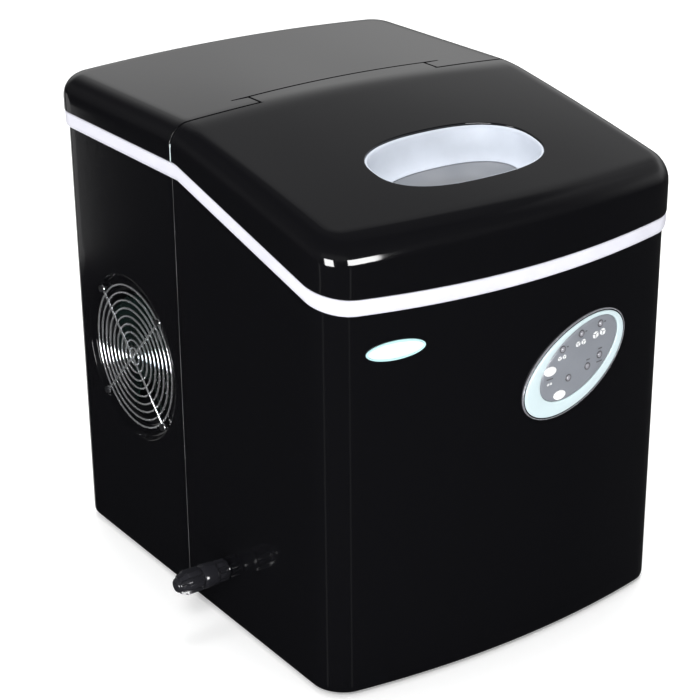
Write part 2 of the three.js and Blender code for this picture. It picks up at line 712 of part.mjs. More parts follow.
function makeIceWorks() {
  const { rows, perRow, pitch, r, tip, top } = FINGERS;
  const manifold = block(-70, 70, 14, 60, top, top + 14);
  const fingers = [];
  for (const y of rows)
    for (let i = 0; i < perRow; i++) {
      const x = (i - (perRow - 1) / 2) * pitch;
      const profile = [
        [0, tip],
        [r - 1.5, tip + 1],
        [r, tip + 5],
        [r + 0.8, top + 1],
        [0, top + 1],
      ];
      fingers.push(turned(profile, 10, upright(x, y, 0)));
    }
  const hanger = [-66, 66].map((x) => block(x - 3, x + 3, 30, 44, top + 13, 388));
  part("evaporator", NICKEL, joined(manifold, ...fingers, ...hanger));

  // The cover's lower edge is arched.
  const arch = [];
  for (let i = 0; i <= 10; i++) {
    const x = BAY.left + 1 + ((BAY.right - BAY.left - 2) * i) / 10;
    arch.push([x, 350 - 7 * (x / 121) ** 2]);
  }
  const curtain = deep([...arch, [BAY.right - 1, 390], [BAY.left + 1, 390]], -10, -8);
  part("evaporator_cover", LINER_WHITE, curtain.add(block(BAY.left + 1, BAY.right - 1, -10, 26, 388, 390)));

  const { x, front, rear, floor, rim, wall } = TRAY;
  const trough = block(-x, x, front, rear, floor, rim).subtract(
    block(-x + wall, x - wall, front + wall, rear - wall, floor + wall, rim + 10),
  );
  const ears = [-1, 1].map((side) => {
    const [x0, x1] = side > 0 ? [x - wall, x + 1] : [-x - 1, -x + wall];
    return block(x0, x1, rear - 4, TRAY_AXIS.y + 4, rim - 12, rim + 8);
  });
  const shaft = rod([BAY.left + 0.6, TRAY_AXIS.y, TRAY_AXIS.z], [x + 18, TRAY_AXIS.y, TRAY_AXIS.z], 2.6, 10);
  part("water_tray", BASKET_GREY, joined(trough, ...ears, shaft));
  const motor = cut(
    block(x + 13, x + 44, TRAY_AXIS.y - 34, TRAY_AXIS.y + 5, TRAY_AXIS.z - 14, TRAY_AXIS.z + 14),
    rod([x, TRAY_AXIS.y, TRAY_AXIS.z], [x + 19, TRAY_AXIS.y, TRAY_AXIS.z], 3.1, 10),
  );
  part("tray_motor", MATT_BLACK, motor);

  // The shovel hangs in front of the tray and swings out to push ice into the basket.
  const blade = block(-84, 124, SHOVEL_AXIS.y - 1.4, SHOVEL_AXIS.y + 1.4, SHOVEL_AXIS.z - 40, SHOVEL_AXIS.z - 8);
  const notches = [];
  for (let i = 0; i < 8; i++) {
    const x0 = -72 + i * 25;
    notches.push(block(x0, x0 + 8, -10, 10, SHOVEL_AXIS.z - 50, SHOVEL_AXIS.z - 24));
  }
  const arms = [-80, 20, 104].map((ax) =>
    block(ax - 4, ax + 4, SHOVEL_AXIS.y - 1.4, SHOVEL_AXIS.y + 1.4, SHOVEL_AXIS.z - 12, SHOVEL_AXIS.z),
  );
  const end = TUB.x - 0.6;
  const pivot = rod([-end, SHOVEL_AXIS.y, SHOVEL_AXIS.z], [end, SHOVEL_AXIS.y, SHOVEL_AXIS.z], 2.2, 8);
  part("ice_shovel", PANEL_GREY, joined(blade.subtract(joined(...notches)), ...arms, pivot));
}

function makeWaterParts() {
  const floor = TUB.floor + GAP;
  const pump = joined(
    rod([-62, 0, floor], [-62, 0, floor + 34], 16, 18),
    rod([-62, 0, floor + 30], [-62, 0, floor + 44], 4, 10),
  );
  part("water_pump", MATT_BLACK, pump);
  const hose = tube(
    [
      [-62, 0, floor + 44.4],
      [-62, 1, 170],
      [-72, 4, 235],
      [-87, 10, 290],
      [-87, 15, 330],
      [-87, 17, 346],
    ],
    4,
    8,
    22,
  );
  part("pump_hose", HOSE, hose);
  const stem = joined(rod([40, 6, floor], [40, 6, floor + 46], 2, 8), rod([40, 6, floor], [40, 6, floor + 4], 9, 12));
  part("float_stem", LINER_WHITE, stem.add(rod([40, 6, floor + 42], [40, 6, floor + 46], 6, 12)));
  const float = rod([40, 6, floor + 5], [40, 6, floor + 23], 9, 14);
  part("level_float", BASKET_GREY, float.subtract(rod([40, 6, 60], [40, 6, 200], 3, 10)));
}

// ---------------------------------------------------------------- drain
function makeDrain() {
  const left = (d) => -HALF_WIDTH - d; // d is the distance out from the casing's side
  const along = (d0, d1, r, sides) => rod([left(d0), DRAIN.y, DRAIN.z], [left(d1), DRAIN.y, DRAIN.z], r, sides);
  const fins = (count, d0, d1, reach, thick) => {
    const made = [];
    for (let i = 0; i < count; i++) {
      const fin = new THREE.BoxGeometry(Math.abs(d1 - d0), 2 * reach, thick);
      fin.rotateX((Math.PI * i) / count).translate(left((d0 + d1) / 2), DRAIN.y, DRAIN.z);
      made.push(solid(fin));
    }
    return made;
  };
  const fitting = joined(
    along(-24, 26, 6.9, 16),
    along(-6, -3.6, 11, 6),
    along(GAP, 11, 7.5, 12),
    ...fins(3, GAP, 11, 9, 2.4),
    along(11, 26, 10.4, 16),
    along(12.5, 18, 11.2, 12),
    along(25, 36, 6, 16),
  );
  part("drain_fitting", MATT_BLACK, fitting);
  part("drain_washer", RUBBER, along(36.4, 37.6, 5.9, 14));
  const cap = joined(
    along(26.4, 42, 9, 16),
    ...fins(3, 28, 42, 11.6, 2.6),
    along(41, 47, 8.4, 12),
    along(46, 50, 6, 12),
  );
  part("drain_cap", MATT_BLACK, cap.subtract(along(20, 37.9, 6.3, 16)));
  const hose = tube(
    [
      [-96, DRAIN.y, TUB.floor - 16.5],
      [-96, DRAIN.y, 54],
      [-102, DRAIN.y, 49],
      [-130, DRAIN.y, DRAIN.z],
      [left(-24) + 0.5, DRAIN.y, DRAIN.z],
    ],
    5.5,
    10,
    16,
  );
  part("drain_hose", HOSE, hose);
}

// ---------------------------------------------------------------- refrigeration
function makeFan() {
  const inner = -HALF_WIDTH + 8.4;
  const { y, z } = FAN;
  const along = (x0, x1, r, sides) => rod([x0, y, z], [x1, y, z], r, sides);
  const frame = block(inner, inner + 24, y - 64, y + 64, z - 64, z + 64).subtract(along(inner - 5, inner + 40, 60, 28));
  const struts = [0, 60, 120].map((turn) =>
    solid(
      new THREE.BoxGeometry(3, 124, 5)
        .rotateX((turn * Math.PI) / 180)
        .translate(inner + 22, y, z),
    ),
  );
  part("fan_frame", MATT_BLACK, joined(frame, ...struts));
  const motorStart = inner + 12;
  part("fan_motor", STEEL, along(motorStart, inner + 20, 19, 18));
  const blades = [];
  for (let i = 0; i < 7; i++) {
    const blade = new THREE.BoxGeometry(1.6, 24, 36).rotateZ(0.42).translate(0, 0, 36);
    blade.rotateX((2 * Math.PI * i) / 7).translate(inner + 6, y, z);
    blades.push(solid(blade));
  }
  part("fan_rotor", MATT_BLACK, joined(along(inner + 1, inner + 11.6, 22, 20), ...blades));

  // Concentric wire rings on two crossed wires.
  const wireX = -HALF_WIDTH + 3.2;
  const wires = [];
  for (let i = 0; i < 9; i++) {
    const torus = new THREE.TorusGeometry(65 - i * 7.15, 0.95, 4, 28 - 2 * i);
    wires.push(solid(torus.rotateY(Math.PI / 2).translate(wireX, y, z)));
  }
  for (const turn of [45, -45]) {
    const [c, s] = [Math.cos((turn * Math.PI) / 180), Math.sin((turn * Math.PI) / 180)];
    const at = (d) => [wireX - 1.3, y + c * d, z + s * d];
    wires.push(rod(at(-67), at(67), 1.1, 6));
  }
  const eyeX = wireX - 1.3;
  const eyes = grilleScrews().map(([sy, sz]) => rod([eyeX - 0.9, sy, sz], [eyeX + 0.9, sy, sz], 3.4, 10));
  const holes = grilleScrews().map(([sy, sz]) => rod([-190, sy, sz], [-160, sy, sz], 1.9, 8));
  part("fan_grille", WIRE, cut(joined(...wires, ...eyes), ...holes));
  grilleScrews().forEach(([sy, sz], i) => {
    const head = rod([eyeX - 3, sy, sz], [eyeX - 1.2, sy, sz], 3, 10);
    part(`grille_screw_${i + 1}`, STEEL, head.add(rod([eyeX - 2, sy, sz], [eyeX + 5, sy, sz], 1.5, 8)));
  });
}

function makeRefrigeration() {
  const floor = 2.5 + GAP;
  const cx = 62;
  const cy = 112;
  const stubRear = cy + 62;
  const shell = [
    [0, floor + 22],
    [40, floor + 22],
    [52, floor + 30],
    [56, floor + 44],
    [56, floor + 100],
    [53, floor + 122],
    [42, floor + 140],
    [24, floor + 149],
    [0, floor + 151],
  ];
  const mountRing = [90, 210, 330].map((turn) => {
    const a = (turn * Math.PI) / 180;
    return [cx + 62 * Math.cos(a), cy + 62 * Math.sin(a)];
  });
  const legs = mountRing.map(([x, y]) =>
    joined(
      rod([x, y, floor + 14.3], [x, y, floor + 17.3], 13, 14),
      rod([(x + cx) / 2, (y + cy) / 2, floor + 14.3], [(x + cx) / 2, (y + cy) / 2, floor + 17.3], 26, 16),
    ),
  );
  const pedestal = rod([cx, cy, floor + 14.3], [cx, cy, floor + 30], 34, 16);
  const pins = mountRing.map(([x, y]) => rod([x, y, floor + 6], [x, y, floor + 16], 4, 10));
  const terminal = block(cx - 20, cx + 20, cy - 66, cy - 48, floor + 60, floor + 100);
  const stubs = joined(
    rod([cx - 30, cy + 25, floor + 90], [cx - 30, stubRear, floor + 90], 4, 10),
    rod([cx + 8, cy + 30, floor + 110], [cx + 8, stubRear, floor + 110], 4, 10),
  );
  part(
    "compressor",
    COMPRESSOR_BLACK,
    joined(turned(shell, 22, upright(cx, cy, 0)), ...legs, pedestal, ...pins, terminal, stubs),
  );
  mountRing.forEach(([x, y], i) => {
    const grommet = rod([x, y, floor], [x, y, floor + 14], 10, 12).subtract(rod([x, y, -5], [x, y, floor + 30], 4.3, 10));
    part(`compressor_grommet_${i + 1}`, RUBBER, grommet);
  });

  const x0 = -HALF_WIDTH + 8.4 + 24 + 4;
  const plates = [];
  for (let i = 0; i < 9; i++) {
    const y = 40 + i * 14;
    plates.push(block(x0, x0 + 32, y, y + 2, 122, 258));
  }
  const core = block(x0 + 12, x0 + 20, 36, 160, 126, 254);
  const ports = [134, 244].map((z) => rod([x0 + 16, 150, z], [x0 + 16, 164, z], 4, 8));
  part("condenser", ALUMINIUM, joined(core, ...plates, ...ports));

  part(
    "discharge_tube",
    COPPER,
    tube(
      [
        [cx - 30, stubRear + 0.5, floor + 90],
        [cx - 30, stubRear + 5, floor + 90],
        [10, 186, 110],
        [-50, 184, 190],
        [-100, 180, 236],
        [x0 + 16, 172, 244],
        [x0 + 16, 164.5, 244],
      ],
      3.2,
      8,
      26,
    ),
  );
  part(
    "suction_tube",
    COPPER,
    tube(
      [
        [30, 60.5, 343],
        [30, 65, 343],
        [30, 71, 352],
        [30, 72, 386],
        [30, 84, 403],
        [32, 118, 406],
        [34, 134, 398],
        [44, 146, 310],
        [64, 176, 200],
        [cx + 8, 188, 135],
        [cx + 8, stubRear + 7, floor + 110],
        [cx + 8, stubRear + 0.5, floor + 110],
      ],
      3.2,
      8,
      36,
    ),
  );
  const drier = [
    [0, 0],
    [3, 1],
    [8, 10],
    [8, 58],
    [3, 67],
    [0, 68],
  ];
  part("filter_drier", COPPER, turned(drier, 14, upright(-52, 150, 262)));
  part(
    "liquid_line",
    COPPER,
    tube(
      [
        [x0 + 16, 164.5, 134],
        [x0 + 16, 171, 134],
        [-84, 168, 160],
        [-58, 156, 225],
        [-52, 150, 254],
        [-52, 150, 261.5],
      ],
      2.4,
      6,
      24,
    ),
  );
  part(
    "capillary_tube",
    COPPER,
    tube(
      [
        [-52, 150, 330.5],
        [-52, 150, 340],
        [-51, 144, 385],
        [-50, 124, 404],
        [-47, 90, 405],
        [-45, 76, 396],
        [-44, 71, 380],
        [-44, 70, 352],
        [-44, 65, 343],
        [-44, 60.5, 343],
      ],
      1.6,
      6,
      26,
    ),
  );
  const boardX = HALF_WIDTH - WALL - 6;
  part(
    "main_board",
    BOARD_GREEN,
    joined(
      block(boardX - 1.6, boardX, 52, 152, 285, 365),
      block(boardX - 21, boardX - 1, 62, 96, 300, 336),
      rod([boardX - 21, 125, 310], [boardX - 1, 125, 310], 11, 12),
      block(boardX - 14, boardX - 1, 108, 142, 335, 355),
    ),
  );
}

makeCasing();
makeTop();
makeWindow();
makePanel();
makeGland();
makeTub();
makeBasket();
makeIceWorks();
makeWaterParts();
makeDrain();
makeFan();
makeRefrigeration();

// The finished machine stands on its feet at z = 0, with its overall box centred on the origin.
machine.position.set(
  (DRAIN_REACH - HALF_WIDTH - CAP_PROUD) / 2,
  (-frontY(0) + CAP_PROUD - END_Y - GLAND.stands) / 2,
  FOOT_HEIGHT,
);

const iceMaker = new THREE.Group();
iceMaker.add(machine);
export default iceMaker;
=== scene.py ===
"""Countertop ice maker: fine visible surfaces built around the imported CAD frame.

Casing sizes are in millimetres about the casing's own middle, with z = 0 at the bottom edge
of its walls, front towards -Y. at() turns them into the frame's metres.
"""
import json
import math

import bmesh
import bpy
from mathutils import Matrix, Vector


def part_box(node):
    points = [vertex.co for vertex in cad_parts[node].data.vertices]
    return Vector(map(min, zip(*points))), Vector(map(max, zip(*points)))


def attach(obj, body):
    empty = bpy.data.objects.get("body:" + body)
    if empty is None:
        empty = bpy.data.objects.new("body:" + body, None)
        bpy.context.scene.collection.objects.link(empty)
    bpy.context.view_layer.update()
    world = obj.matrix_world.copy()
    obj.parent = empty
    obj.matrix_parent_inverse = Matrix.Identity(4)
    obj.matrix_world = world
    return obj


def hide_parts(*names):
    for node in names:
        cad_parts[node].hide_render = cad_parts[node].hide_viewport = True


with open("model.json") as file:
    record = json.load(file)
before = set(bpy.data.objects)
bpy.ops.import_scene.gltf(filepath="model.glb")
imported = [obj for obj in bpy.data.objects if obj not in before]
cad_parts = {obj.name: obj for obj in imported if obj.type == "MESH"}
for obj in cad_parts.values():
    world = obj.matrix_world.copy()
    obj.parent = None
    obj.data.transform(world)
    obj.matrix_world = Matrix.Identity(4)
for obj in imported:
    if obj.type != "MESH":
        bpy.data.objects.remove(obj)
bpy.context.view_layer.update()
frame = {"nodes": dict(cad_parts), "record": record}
nodes = frame["nodes"]

# ------------------------------------------------------------------ driving sizes, mm
HALF_WIDTH = 175.0
END_Y = 206.0
FRONT_BOW = 19.0
BOW_FROM = -120.0
BOW_FULL = -200.0
CORNER_R = 24.0
CAP_PROUD = 3.5
BAND_TOP = 395.0
BAND_SLOPE = 0.254
BAND_HEIGHT = 14.0
KINK_Y = 0.0
CREST_Z = 426.7
CROWN = 5.3
CROWN_HALF = 157.0
LID_SLOPE = 0.168
LID_CURVE = 0.00014
LID_EASE = 14.0
SHELL_SEAM_Y = 11.0
SHELL_GAP = 0.4
LID_SEAM_Y = 7.0
TONGUE_HALF = 91.0
TONGUE_Y = 26.5
TONGUE_BOW = 2.0
SEAM_HALF_GAP = 0.7
TOP_EDGE_R = 18.0
SHELL_WALL = 3.0
CAP_WALL = 2.6
WINDOW = {"y": -136.0, "a": 80.0, "b": 41.8, "power": 2.5}
FAN = {"y": 97.5, "z": 192.0, "dish": 75.0, "screws": 69.5}
DRAIN = {"y": -51.0, "z": 48.0}
PANEL = {"x": 57.4, "z": 239.4, "a": 60.7, "b": 35.5, "turn": 24.6}
FACE = {"x": 61.1, "z": 243.7, "a": 46.8, "b": 26.0, "turn": 26.7}
BADGE = {"x": -118.2, "z": 294.0, "a": 25.1, "b": 7.8, "turn": 0.0}

# The casing's place in the frame comes from the CAD nodes themselves.
band_low, band_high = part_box("trim_band")
shell_low, shell_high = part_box("rear_shell")
ORIGIN = Vector(((band_low.x + band_high.x) / 2, shell_high.y - END_Y / 1000, shell_low.z))


def at(x, y, z):
    return Vector((ORIGIN.x + x / 1000, ORIGIN.y + y / 1000, ORIGIN.z + z / 1000))


# ------------------------------------------------------------------ outlines and surfaces
def bow_at(x):
    return FRONT_BOW * (1 - (x / HALF_WIDTH) ** 2)


def bowed(x, y):
    t = min(1.0, max(0.0, (BOW_FROM - y) / (BOW_FROM - BOW_FULL)))
    return y - bow_at(x) * t * t * (3 - 2 * t)


def front_y(x):
    return -END_Y - bow_at(x)


def band_top(y):
    return BAND_TOP - BAND_SLOPE * max(0.0, KINK_Y - y)


def top_z(x, y):
    past = KINK_Y - y
    ahead = (past + LID_EASE) ** 2 / (4 * LID_EASE) if abs(past) < LID_EASE else max(0.0, past)
    crown = CROWN * (1 - (x / CROWN_HALF) ** 2)
    return CREST_Z + crown - LID_SLOPE * ahead - LID_CURVE * ahead * ahead


def spread(a, b, count):
    return [a + (b - a) * i / count for i in range(count + 1)]


def superellipse(a, b, power, turn):
    c, s = math.cos(turn), math.sin(turn)
    return (
        a * math.copysign(abs(c) ** (2 / power), c),
        b * math.copysign(abs(s) ** (2 / power), s),
    )


def on_ellipse(oval, grow, turn):
    """A point (x, z) on a turned ellipse of the front panel."""
    u, v = superellipse(oval["a"] + grow, oval["b"] + grow, 2, turn)
    c, s = math.cos(math.radians(oval["turn"])), math.sin(math.radians(oval["turn"]))
    return oval["x"] + u * c - v * s, oval["z"] + u * s + v * c


# ------------------------------------------------------------------ mesh making
def make_object(name, verts, faces, material, body, sharp=50.0, merge=0.00002):
    """A piece riding on body.

    Vertices closer than merge metres become one, and edges over sharp degrees stay crisp.
    """
    mesh = bpy.data.meshes.new(name)
    mesh.from_pydata([tuple(v) for v in verts], [], faces)
    bm = bmesh.new()
    bm.from_mesh(mesh)
    if merge:
        bmesh.ops.remove_doubles(bm, verts=bm.verts, dist=merge)
    bmesh.ops.dissolve_degenerate(bm, edges=bm.edges, dist=0.000001)
    bmesh.ops.recalc_face_normals(bm, faces=bm.faces)
    middle = sum((v.co for v in bm.verts), Vector()) / len(bm.verts)
    outward = sum((f.calc_center_median() - middle).dot(f.normal) * f.calc_area() for f in bm.faces)
    if outward < 0:
        bmesh.ops.reverse_faces(bm, faces=bm.faces)
    limit = math.radians(sharp)
    for face in bm.faces:
        face.smooth = True
    for edge in bm.edges:
        if len(edge.link_faces) == 2 and edge.calc_face_angle(0.0) > limit:
            edge.smooth = False
    bm.to_mesh(mesh)
    bm.free()
    obj = bpy.data.objects.new(name, mesh)
    bpy.context.scene.collection.objects.link(obj)
    mesh.materials.append(material)
    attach(obj, body)
    return obj


class Patches:
    """Quads gathered from several patches, each mapped to the casing by its own function."""

    def __init__(self):
        self.verts = []
        self.faces = []

    def quad_grid(self, us, vs, place, skip=None, flip=False):
        start = len(self.verts)
        for u in us:
            for v in vs:
                self.verts.append(place(u, v))
        rows = len(vs)
        for i in range(len(us) - 1):
            for j in range(rows - 1):
                if skip and skip((us[i] + us[i + 1]) / 2, (vs[j] + vs[j + 1]) / 2):
                    continue
                a = start + i * rows + j
                quad = [a, a + rows, a + rows + 1, a + 1]
                self.faces.append(quad[::-1] if flip else quad)

    def ring_grid(self, count, levels, place, flip=False):
        """place(i, level) for a closed ring of count points at each level."""
        start = len(self.verts)
        for level in levels:
            for i in range(count):
                self.verts.append(place(i, level))
        for k in range(len(levels) - 1):
            for i in range(count):
                j = (i + 1) % count
                a = start + k * count
                quad = [a + i, a + j, a + count + j, a + count + i]
                self.faces.append(quad[::-1] if flip else quad)

    def holed(self, us, vs, u_span, v_span, hole, fractions, place):
        """A grid whose cells inside u_span by v_span run round to an oval hole instead."""
        (u0, u1), (v0, v1) = u_span, v_span
        self.quad_grid(us, vs, place, lambda u, v: u0 < u < u1 and v0 < v < v1)
        inner_u = [u for u in us if u0 - 1e-6 <= u <= u1 + 1e-6]
        inner_v = [v for v in vs if v0 - 1e-6 <= v <= v1 + 1e-6]
        rim = [(u, v0) for u in inner_u]
        rim += [(u1, v) for v in inner_v[1:]]
        rim += [(u, v1) for u in inner_u[::-1][1:]]
        rim += [(u0, v) for v in inner_v[::-1][1:-1]]
        cu, cv = (u0 + u1) / 2, (v0 + v1) / 2

        def point(i, t):
            u, v = rim[i]
            turn = math.atan2((v - cv) / (v1 - v0), (u - cu) / (u1 - u0))
            hu, hv = hole(turn)
            return place(u + (hu - u) * t, v + (hv - v) * t)

        self.ring_grid(len(rim), fractions, point)

    def build(self, name, material, body, **options):
        return make_object(name, self.verts, self.faces, material, body, **options)


def add_thickness(obj, wall, edge):
    """Gives a skin its wall, inwards, and rounds the wall's edges."""
    solidify = obj.modifiers.new("wall", "SOLIDIFY")
    solidify.thickness = wall / 1000
    solidify.offset = -1.0
    solidify.use_even_offset = True
    round_edges(obj, edge, 40.0, 3)


def round_edges(obj, edge, limit, segments):
    """Rounds the edges that turn by more than limit degrees, over edge mm."""
    bevel = obj.modifiers.new("edges", "BEVEL")
    bevel.width = edge / 1000
    bevel.segments = segments
    bevel.limit_method = "ANGLE"
    bevel.angle_limit = math.radians(limit)
    bevel.harden_normals = True


def sweep_rings(name, rings, material, body, closed=False, **options):
    """A tube through rings of points.

    closed joins the last ring to the first; otherwise both ends are capped.
    """
    count = len(rings[0])
    verts = [p for ring in rings for p in ring]
    faces = []
    last = len(rings) if closed else len(rings) - 1
    for k in range(last):
        a, b = k * count, ((k + 1) % len(rings)) * count
        for i in range(count):
            j = (i + 1) % count
            faces.append([a + i, a + j, b + j, b + i])
    if not closed:
        faces.append(list(range(count))[::-1])
        faces.append([(len(rings) - 1) * count + i for i in range(count)])
    return make_object(name, verts, faces, material, body, **options)


# ------------------------------------------------------------------ materials
def material(name, color, roughness=0.4, metallic=0.0, **sockets):
    made = bpy.data.materials.new(name)
    made.use_nodes = True
    shader = made.node_tree.nodes["Principled BSDF"]
    shader.inputs["Base Color"].default_value = (*color, 1.0)
    shader.inputs["Roughness"].default_value = roughness
    shader.inputs["Metallic"].default_value = metallic
    for socket, value in sockets.items():
        shader.inputs[socket.replace("_", " ")].default_value = value
    return made


def shader_of(mat):
    return mat.node_tree.nodes["Principled BSDF"]


def noise_on(mat, scale, detail=3.0):
    """A noise texture in object space, and its factor output."""
    tree = mat.node_tree
    coords = tree.nodes.new("ShaderNodeTexCoord")
    noise = tree.nodes.new("ShaderNodeTexNoise")
    noise.inputs["Scale"].default_value = scale
    noise.inputs["Detail"].default_value = detail
    tree.links.new(coords.outputs["Object"], noise.inputs["Vector"])
    return noise.outputs["Fac"]


def add_bump(mat, factor, strength, distance):
    tree = mat.node_tree
    bump = tree.nodes.new("ShaderNodeBump")
    bump.inputs["Strength"].default_value = strength
    bump.inputs["Distance"].default_value = distance
    tree.links.new(factor, bump.inputs["Height"])
    tree.links.new(bump.outputs["Normal"], shader_of(mat).inputs["Normal"])


def vary(mat, factor, socket, low, high):
    """Lets a noise factor carry a socket from low to high."""
    tree = mat.node_tree
    spread_map = tree.nodes.new("ShaderNodeMapRange")
    spread_map.inputs["From Min"].default_value = 0.35
    spread_map.inputs["From Max"].default_value = 0.65
    spread_map.inputs["To Min"].default_value = low
    spread_map.inputs["To Max"].default_value = high
    tree.links.new(factor, spread_map.inputs["Value"])
    tree.links.new(spread_map.outputs["Result"], shader_of(mat).inputs[socket])


def vary_color(mat, factor, low, high):
    """Lets a noise factor carry the colour from low to high."""
    tree = mat.node_tree
    ramp = tree.nodes.new("ShaderNodeValToRGB")
    ramp.color_ramp.elements[0].position = 0.3
    ramp.color_ramp.elements[0].color = (*low, 1)
    ramp.color_ramp.elements[1].position = 0.7
    ramp.color_ramp.elements[1].color = (*high, 1)
    tree.links.new(factor, ramp.inputs["Fac"])
    tree.links.new(ramp.outputs["Color"], shader_of(mat).inputs["Base Color"])


def gloss_black(name, specular, roughness, orange_peel=0.015):
    made = material(name, (0.004, 0.004, 0.0048), roughness, Specular_IOR_Level=specular)
    vary(made, noise_on(made, 900.0, 2.0), "Roughness", roughness * 0.7, roughness * 1.5)
    add_bump(made, noise_on(made, 260.0, 1.0), orange_peel, 0.0004)
    return made


def moulded(name, color, roughness, grain=0.12, grain_scale=1400.0, tint=0.9):
    """Moulded plastic with a fine surface grain and a slight unevenness of colour."""
    made = material(name, color, roughness)
    shade = noise_on(made, 35.0, 4.0)
    vary_color(made, shade, tuple(c * tint for c in color), color)
    add_bump(made, noise_on(made, grain_scale, 2.0), grain, 0.0002)
    return made


BODY_BLACK = gloss_black("body_black", 0.3, 0.07)
LID_BLACK = gloss_black("lid_black", 0.5, 0.05)
BAND_WHITE = moulded("band_white", (0.75, 0.75, 0.83), 0.3, grain=0.04)
MATT_BLACK = moulded("matt_black", (0.012, 0.012, 0.014), 0.32, tint=0.6)
DRAIN_BLACK = moulded("drain_black", (0.02, 0.02, 0.024), 0.14, grain=0.05, tint=0.7)
# Pale grey of the shell seam's strips: a painted highlight along the seam.
SEAM_HIGHLIGHT_GREY = moulded("seam_highlight_grey", (0.3, 0.3, 0.31), 0.5, grain=0.2, grain_scale=600.0, tint=0.35)
SCREW_BLACK = material("blackened_screw", (0.05, 0.05, 0.055), 0.35, 0.8)
vary(SCREW_BLACK, noise_on(SCREW_BLACK, 400.0), "Roughness", 0.28, 0.5)
# Dark smoked plastic of the fan's rotor; its faint blue-green tint is a painted glint, standing in for
# coloured reflections behind the grille.
FAN_SMOKE_GLINT_TINT = moulded("fan_smoke_glint_tint", (0.006, 0.013, 0.012), 0.16, grain=0.05, tint=0.6)
LINER = moulded("liner_white", (0.72, 0.78, 0.86), 0.35, grain=0.05)
WINDOW_WHITE = moulded("window_white", (0.56, 0.6, 0.67), 0.45, grain=0.05)
TRAY_GREY = moulded("tray_grey", (0.32, 0.35, 0.4), 0.35)
AQUA = moulded("panel_aqua", (0.6, 0.72, 0.75), 0.3, grain=0.03, tint=0.96)
AQUA_EDGE = moulded("badge_aqua", (0.5, 0.78, 0.8), 0.3, grain=0.03, tint=0.96)
FACE_GREY = moulded("panel_grey", (0.235, 0.25, 0.28), 0.32, grain=0.1)
BADGE_WHITE = moulded("badge_white", (0.74, 0.86, 0.87), 0.3, grain=0.03, tint=0.96)
PRINT_WHITE = moulded("print_white", (0.88, 0.89, 0.9), 0.4, grain=0.02)
PRINT_DARK = moulded("print_dark", (0.09, 0.09, 0.1), 0.45, grain=0.02)
BUTTON_WHITE = moulded("button_white", (0.93, 0.93, 0.93), 0.28, grain=0.02)
RIM_CHROME = material("rim_chrome", (0.34, 0.34, 0.37), 0.25, 0.35)
vary(RIM_CHROME, noise_on(RIM_CHROME, 300.0), "Roughness", 0.16, 0.3)
WIRE_CHROME = material("wire_chrome", (0.66, 0.67, 0.69), 0.14, 0.84)
vary(WIRE_CHROME, noise_on(WIRE_CHROME, 500.0), "Roughness", 0.08, 0.2)
STEEL = material("zinc_steel", (0.45, 0.46, 0.47), 0.35, 1.0)
vary(STEEL, noise_on(STEEL, 120.0), "Roughness", 0.28, 0.5)
COPPER = material("copper", (0.72, 0.36, 0.2), 0.28, 1.0)
vary_color(COPPER, noise_on(COPPER, 60.0), (0.5, 0.24, 0.14), (0.78, 0.42, 0.26))
FIN_METAL = material("fin_aluminium", (0.62, 0.64, 0.66), 0.3, 1.0)
vary(FIN_METAL, noise_on(FIN_METAL, 200.0), "Roughness", 0.22, 0.42)
NICKEL = material("nickel", (0.62, 0.61, 0.58), 0.2, 1.0)
vary(NICKEL, noise_on(NICKEL, 150.0), "Roughness", 0.12, 0.3)
RUBBER = moulded("rubber", (0.02, 0.02, 0.02), 0.75, grain=0.3, tint=0.7)
FOAM = moulded("foam", (0.82, 0.8, 0.74), 0.9, grain=0.6, grain_scale=500.0)
BOARD = moulded("board_green", (0.02, 0.14, 0.06), 0.4)
HOSE = material("silicone_hose", (0.75, 0.78, 0.79), 0.35, Transmission_Weight=0.35)
add_bump(HOSE, noise_on(HOSE, 300.0), 0.1, 0.0003)
COMPRESSOR = moulded("compressor_enamel", (0.015, 0.015, 0.017), 0.3, grain=0.15)
# Opaque grey for the window's lens: painted shade for the dim interior seen through the clear window,
# partly the interior's own grey.
LENS_GREY = material("lens_grey_shade", (0.16, 0.165, 0.18), 0.12)
vary_color(LENS_GREY, noise_on(LENS_GREY, 22.0, 1.0), (0.14, 0.15, 0.165), (0.2, 0.205, 0.22))
INDICATOR = material("indicator_dome", (0.3, 0.3, 0.33), 0.1, Coat_Weight=0.8)
vary_color(INDICATOR, noise_on(INDICATOR, 900.0), (0.24, 0.24, 0.27), (0.36, 0.36, 0.39))

NODE_MATERIALS = {
    "gloss_black": BODY_BLACK,
    "matt_black": MATT_BLACK,
    "trim_pale": BAND_WHITE,
    "liner_white": LINER,
    "tray_grey": TRAY_GREY,
    "clear_plastic": LENS_GREY,
    "panel_aqua": AQUA,
    "panel_grey": FACE_GREY,
    "white_plastic": BUTTON_WHITE,
    "chrome_wire": WIRE_CHROME,
    "nickel": NICKEL,
    "copper": COPPER,
    "aluminium": FIN_METAL,
    "steel": STEEL,
    "compressor_paint": COMPRESSOR,
    "rubber_black": RUBBER,
    "foam_white": FOAM,
    "board_green": BOARD,
    "hose_clear": HOSE,
}
slot_of = {s["node"]: s["material_slot"] for s in frame["record"]["subparts"]}
CAD_SHARP = math.radians(32)


def finish_node(name, edge):
    """A CAD node that stays in view: its finish, smooth curves and softened edges."""
    obj = nodes[name]
    obj.data.materials.clear()
    obj.data.materials.append(NODE_MATERIALS[slot_of[name]])
    bm = bmesh.new()
    bm.from_mesh(obj.data)
    for face in bm.faces:
        face.smooth = True
    for line in bm.edges:
        line.smooth = not (len(line.link_faces) == 2 and line.calc_face_angle(0.0) > CAD_SHARP)
    bm.to_mesh(obj.data)
    bm.free()
    if edge:
        round_edges(obj, edge, 45.0, 2)


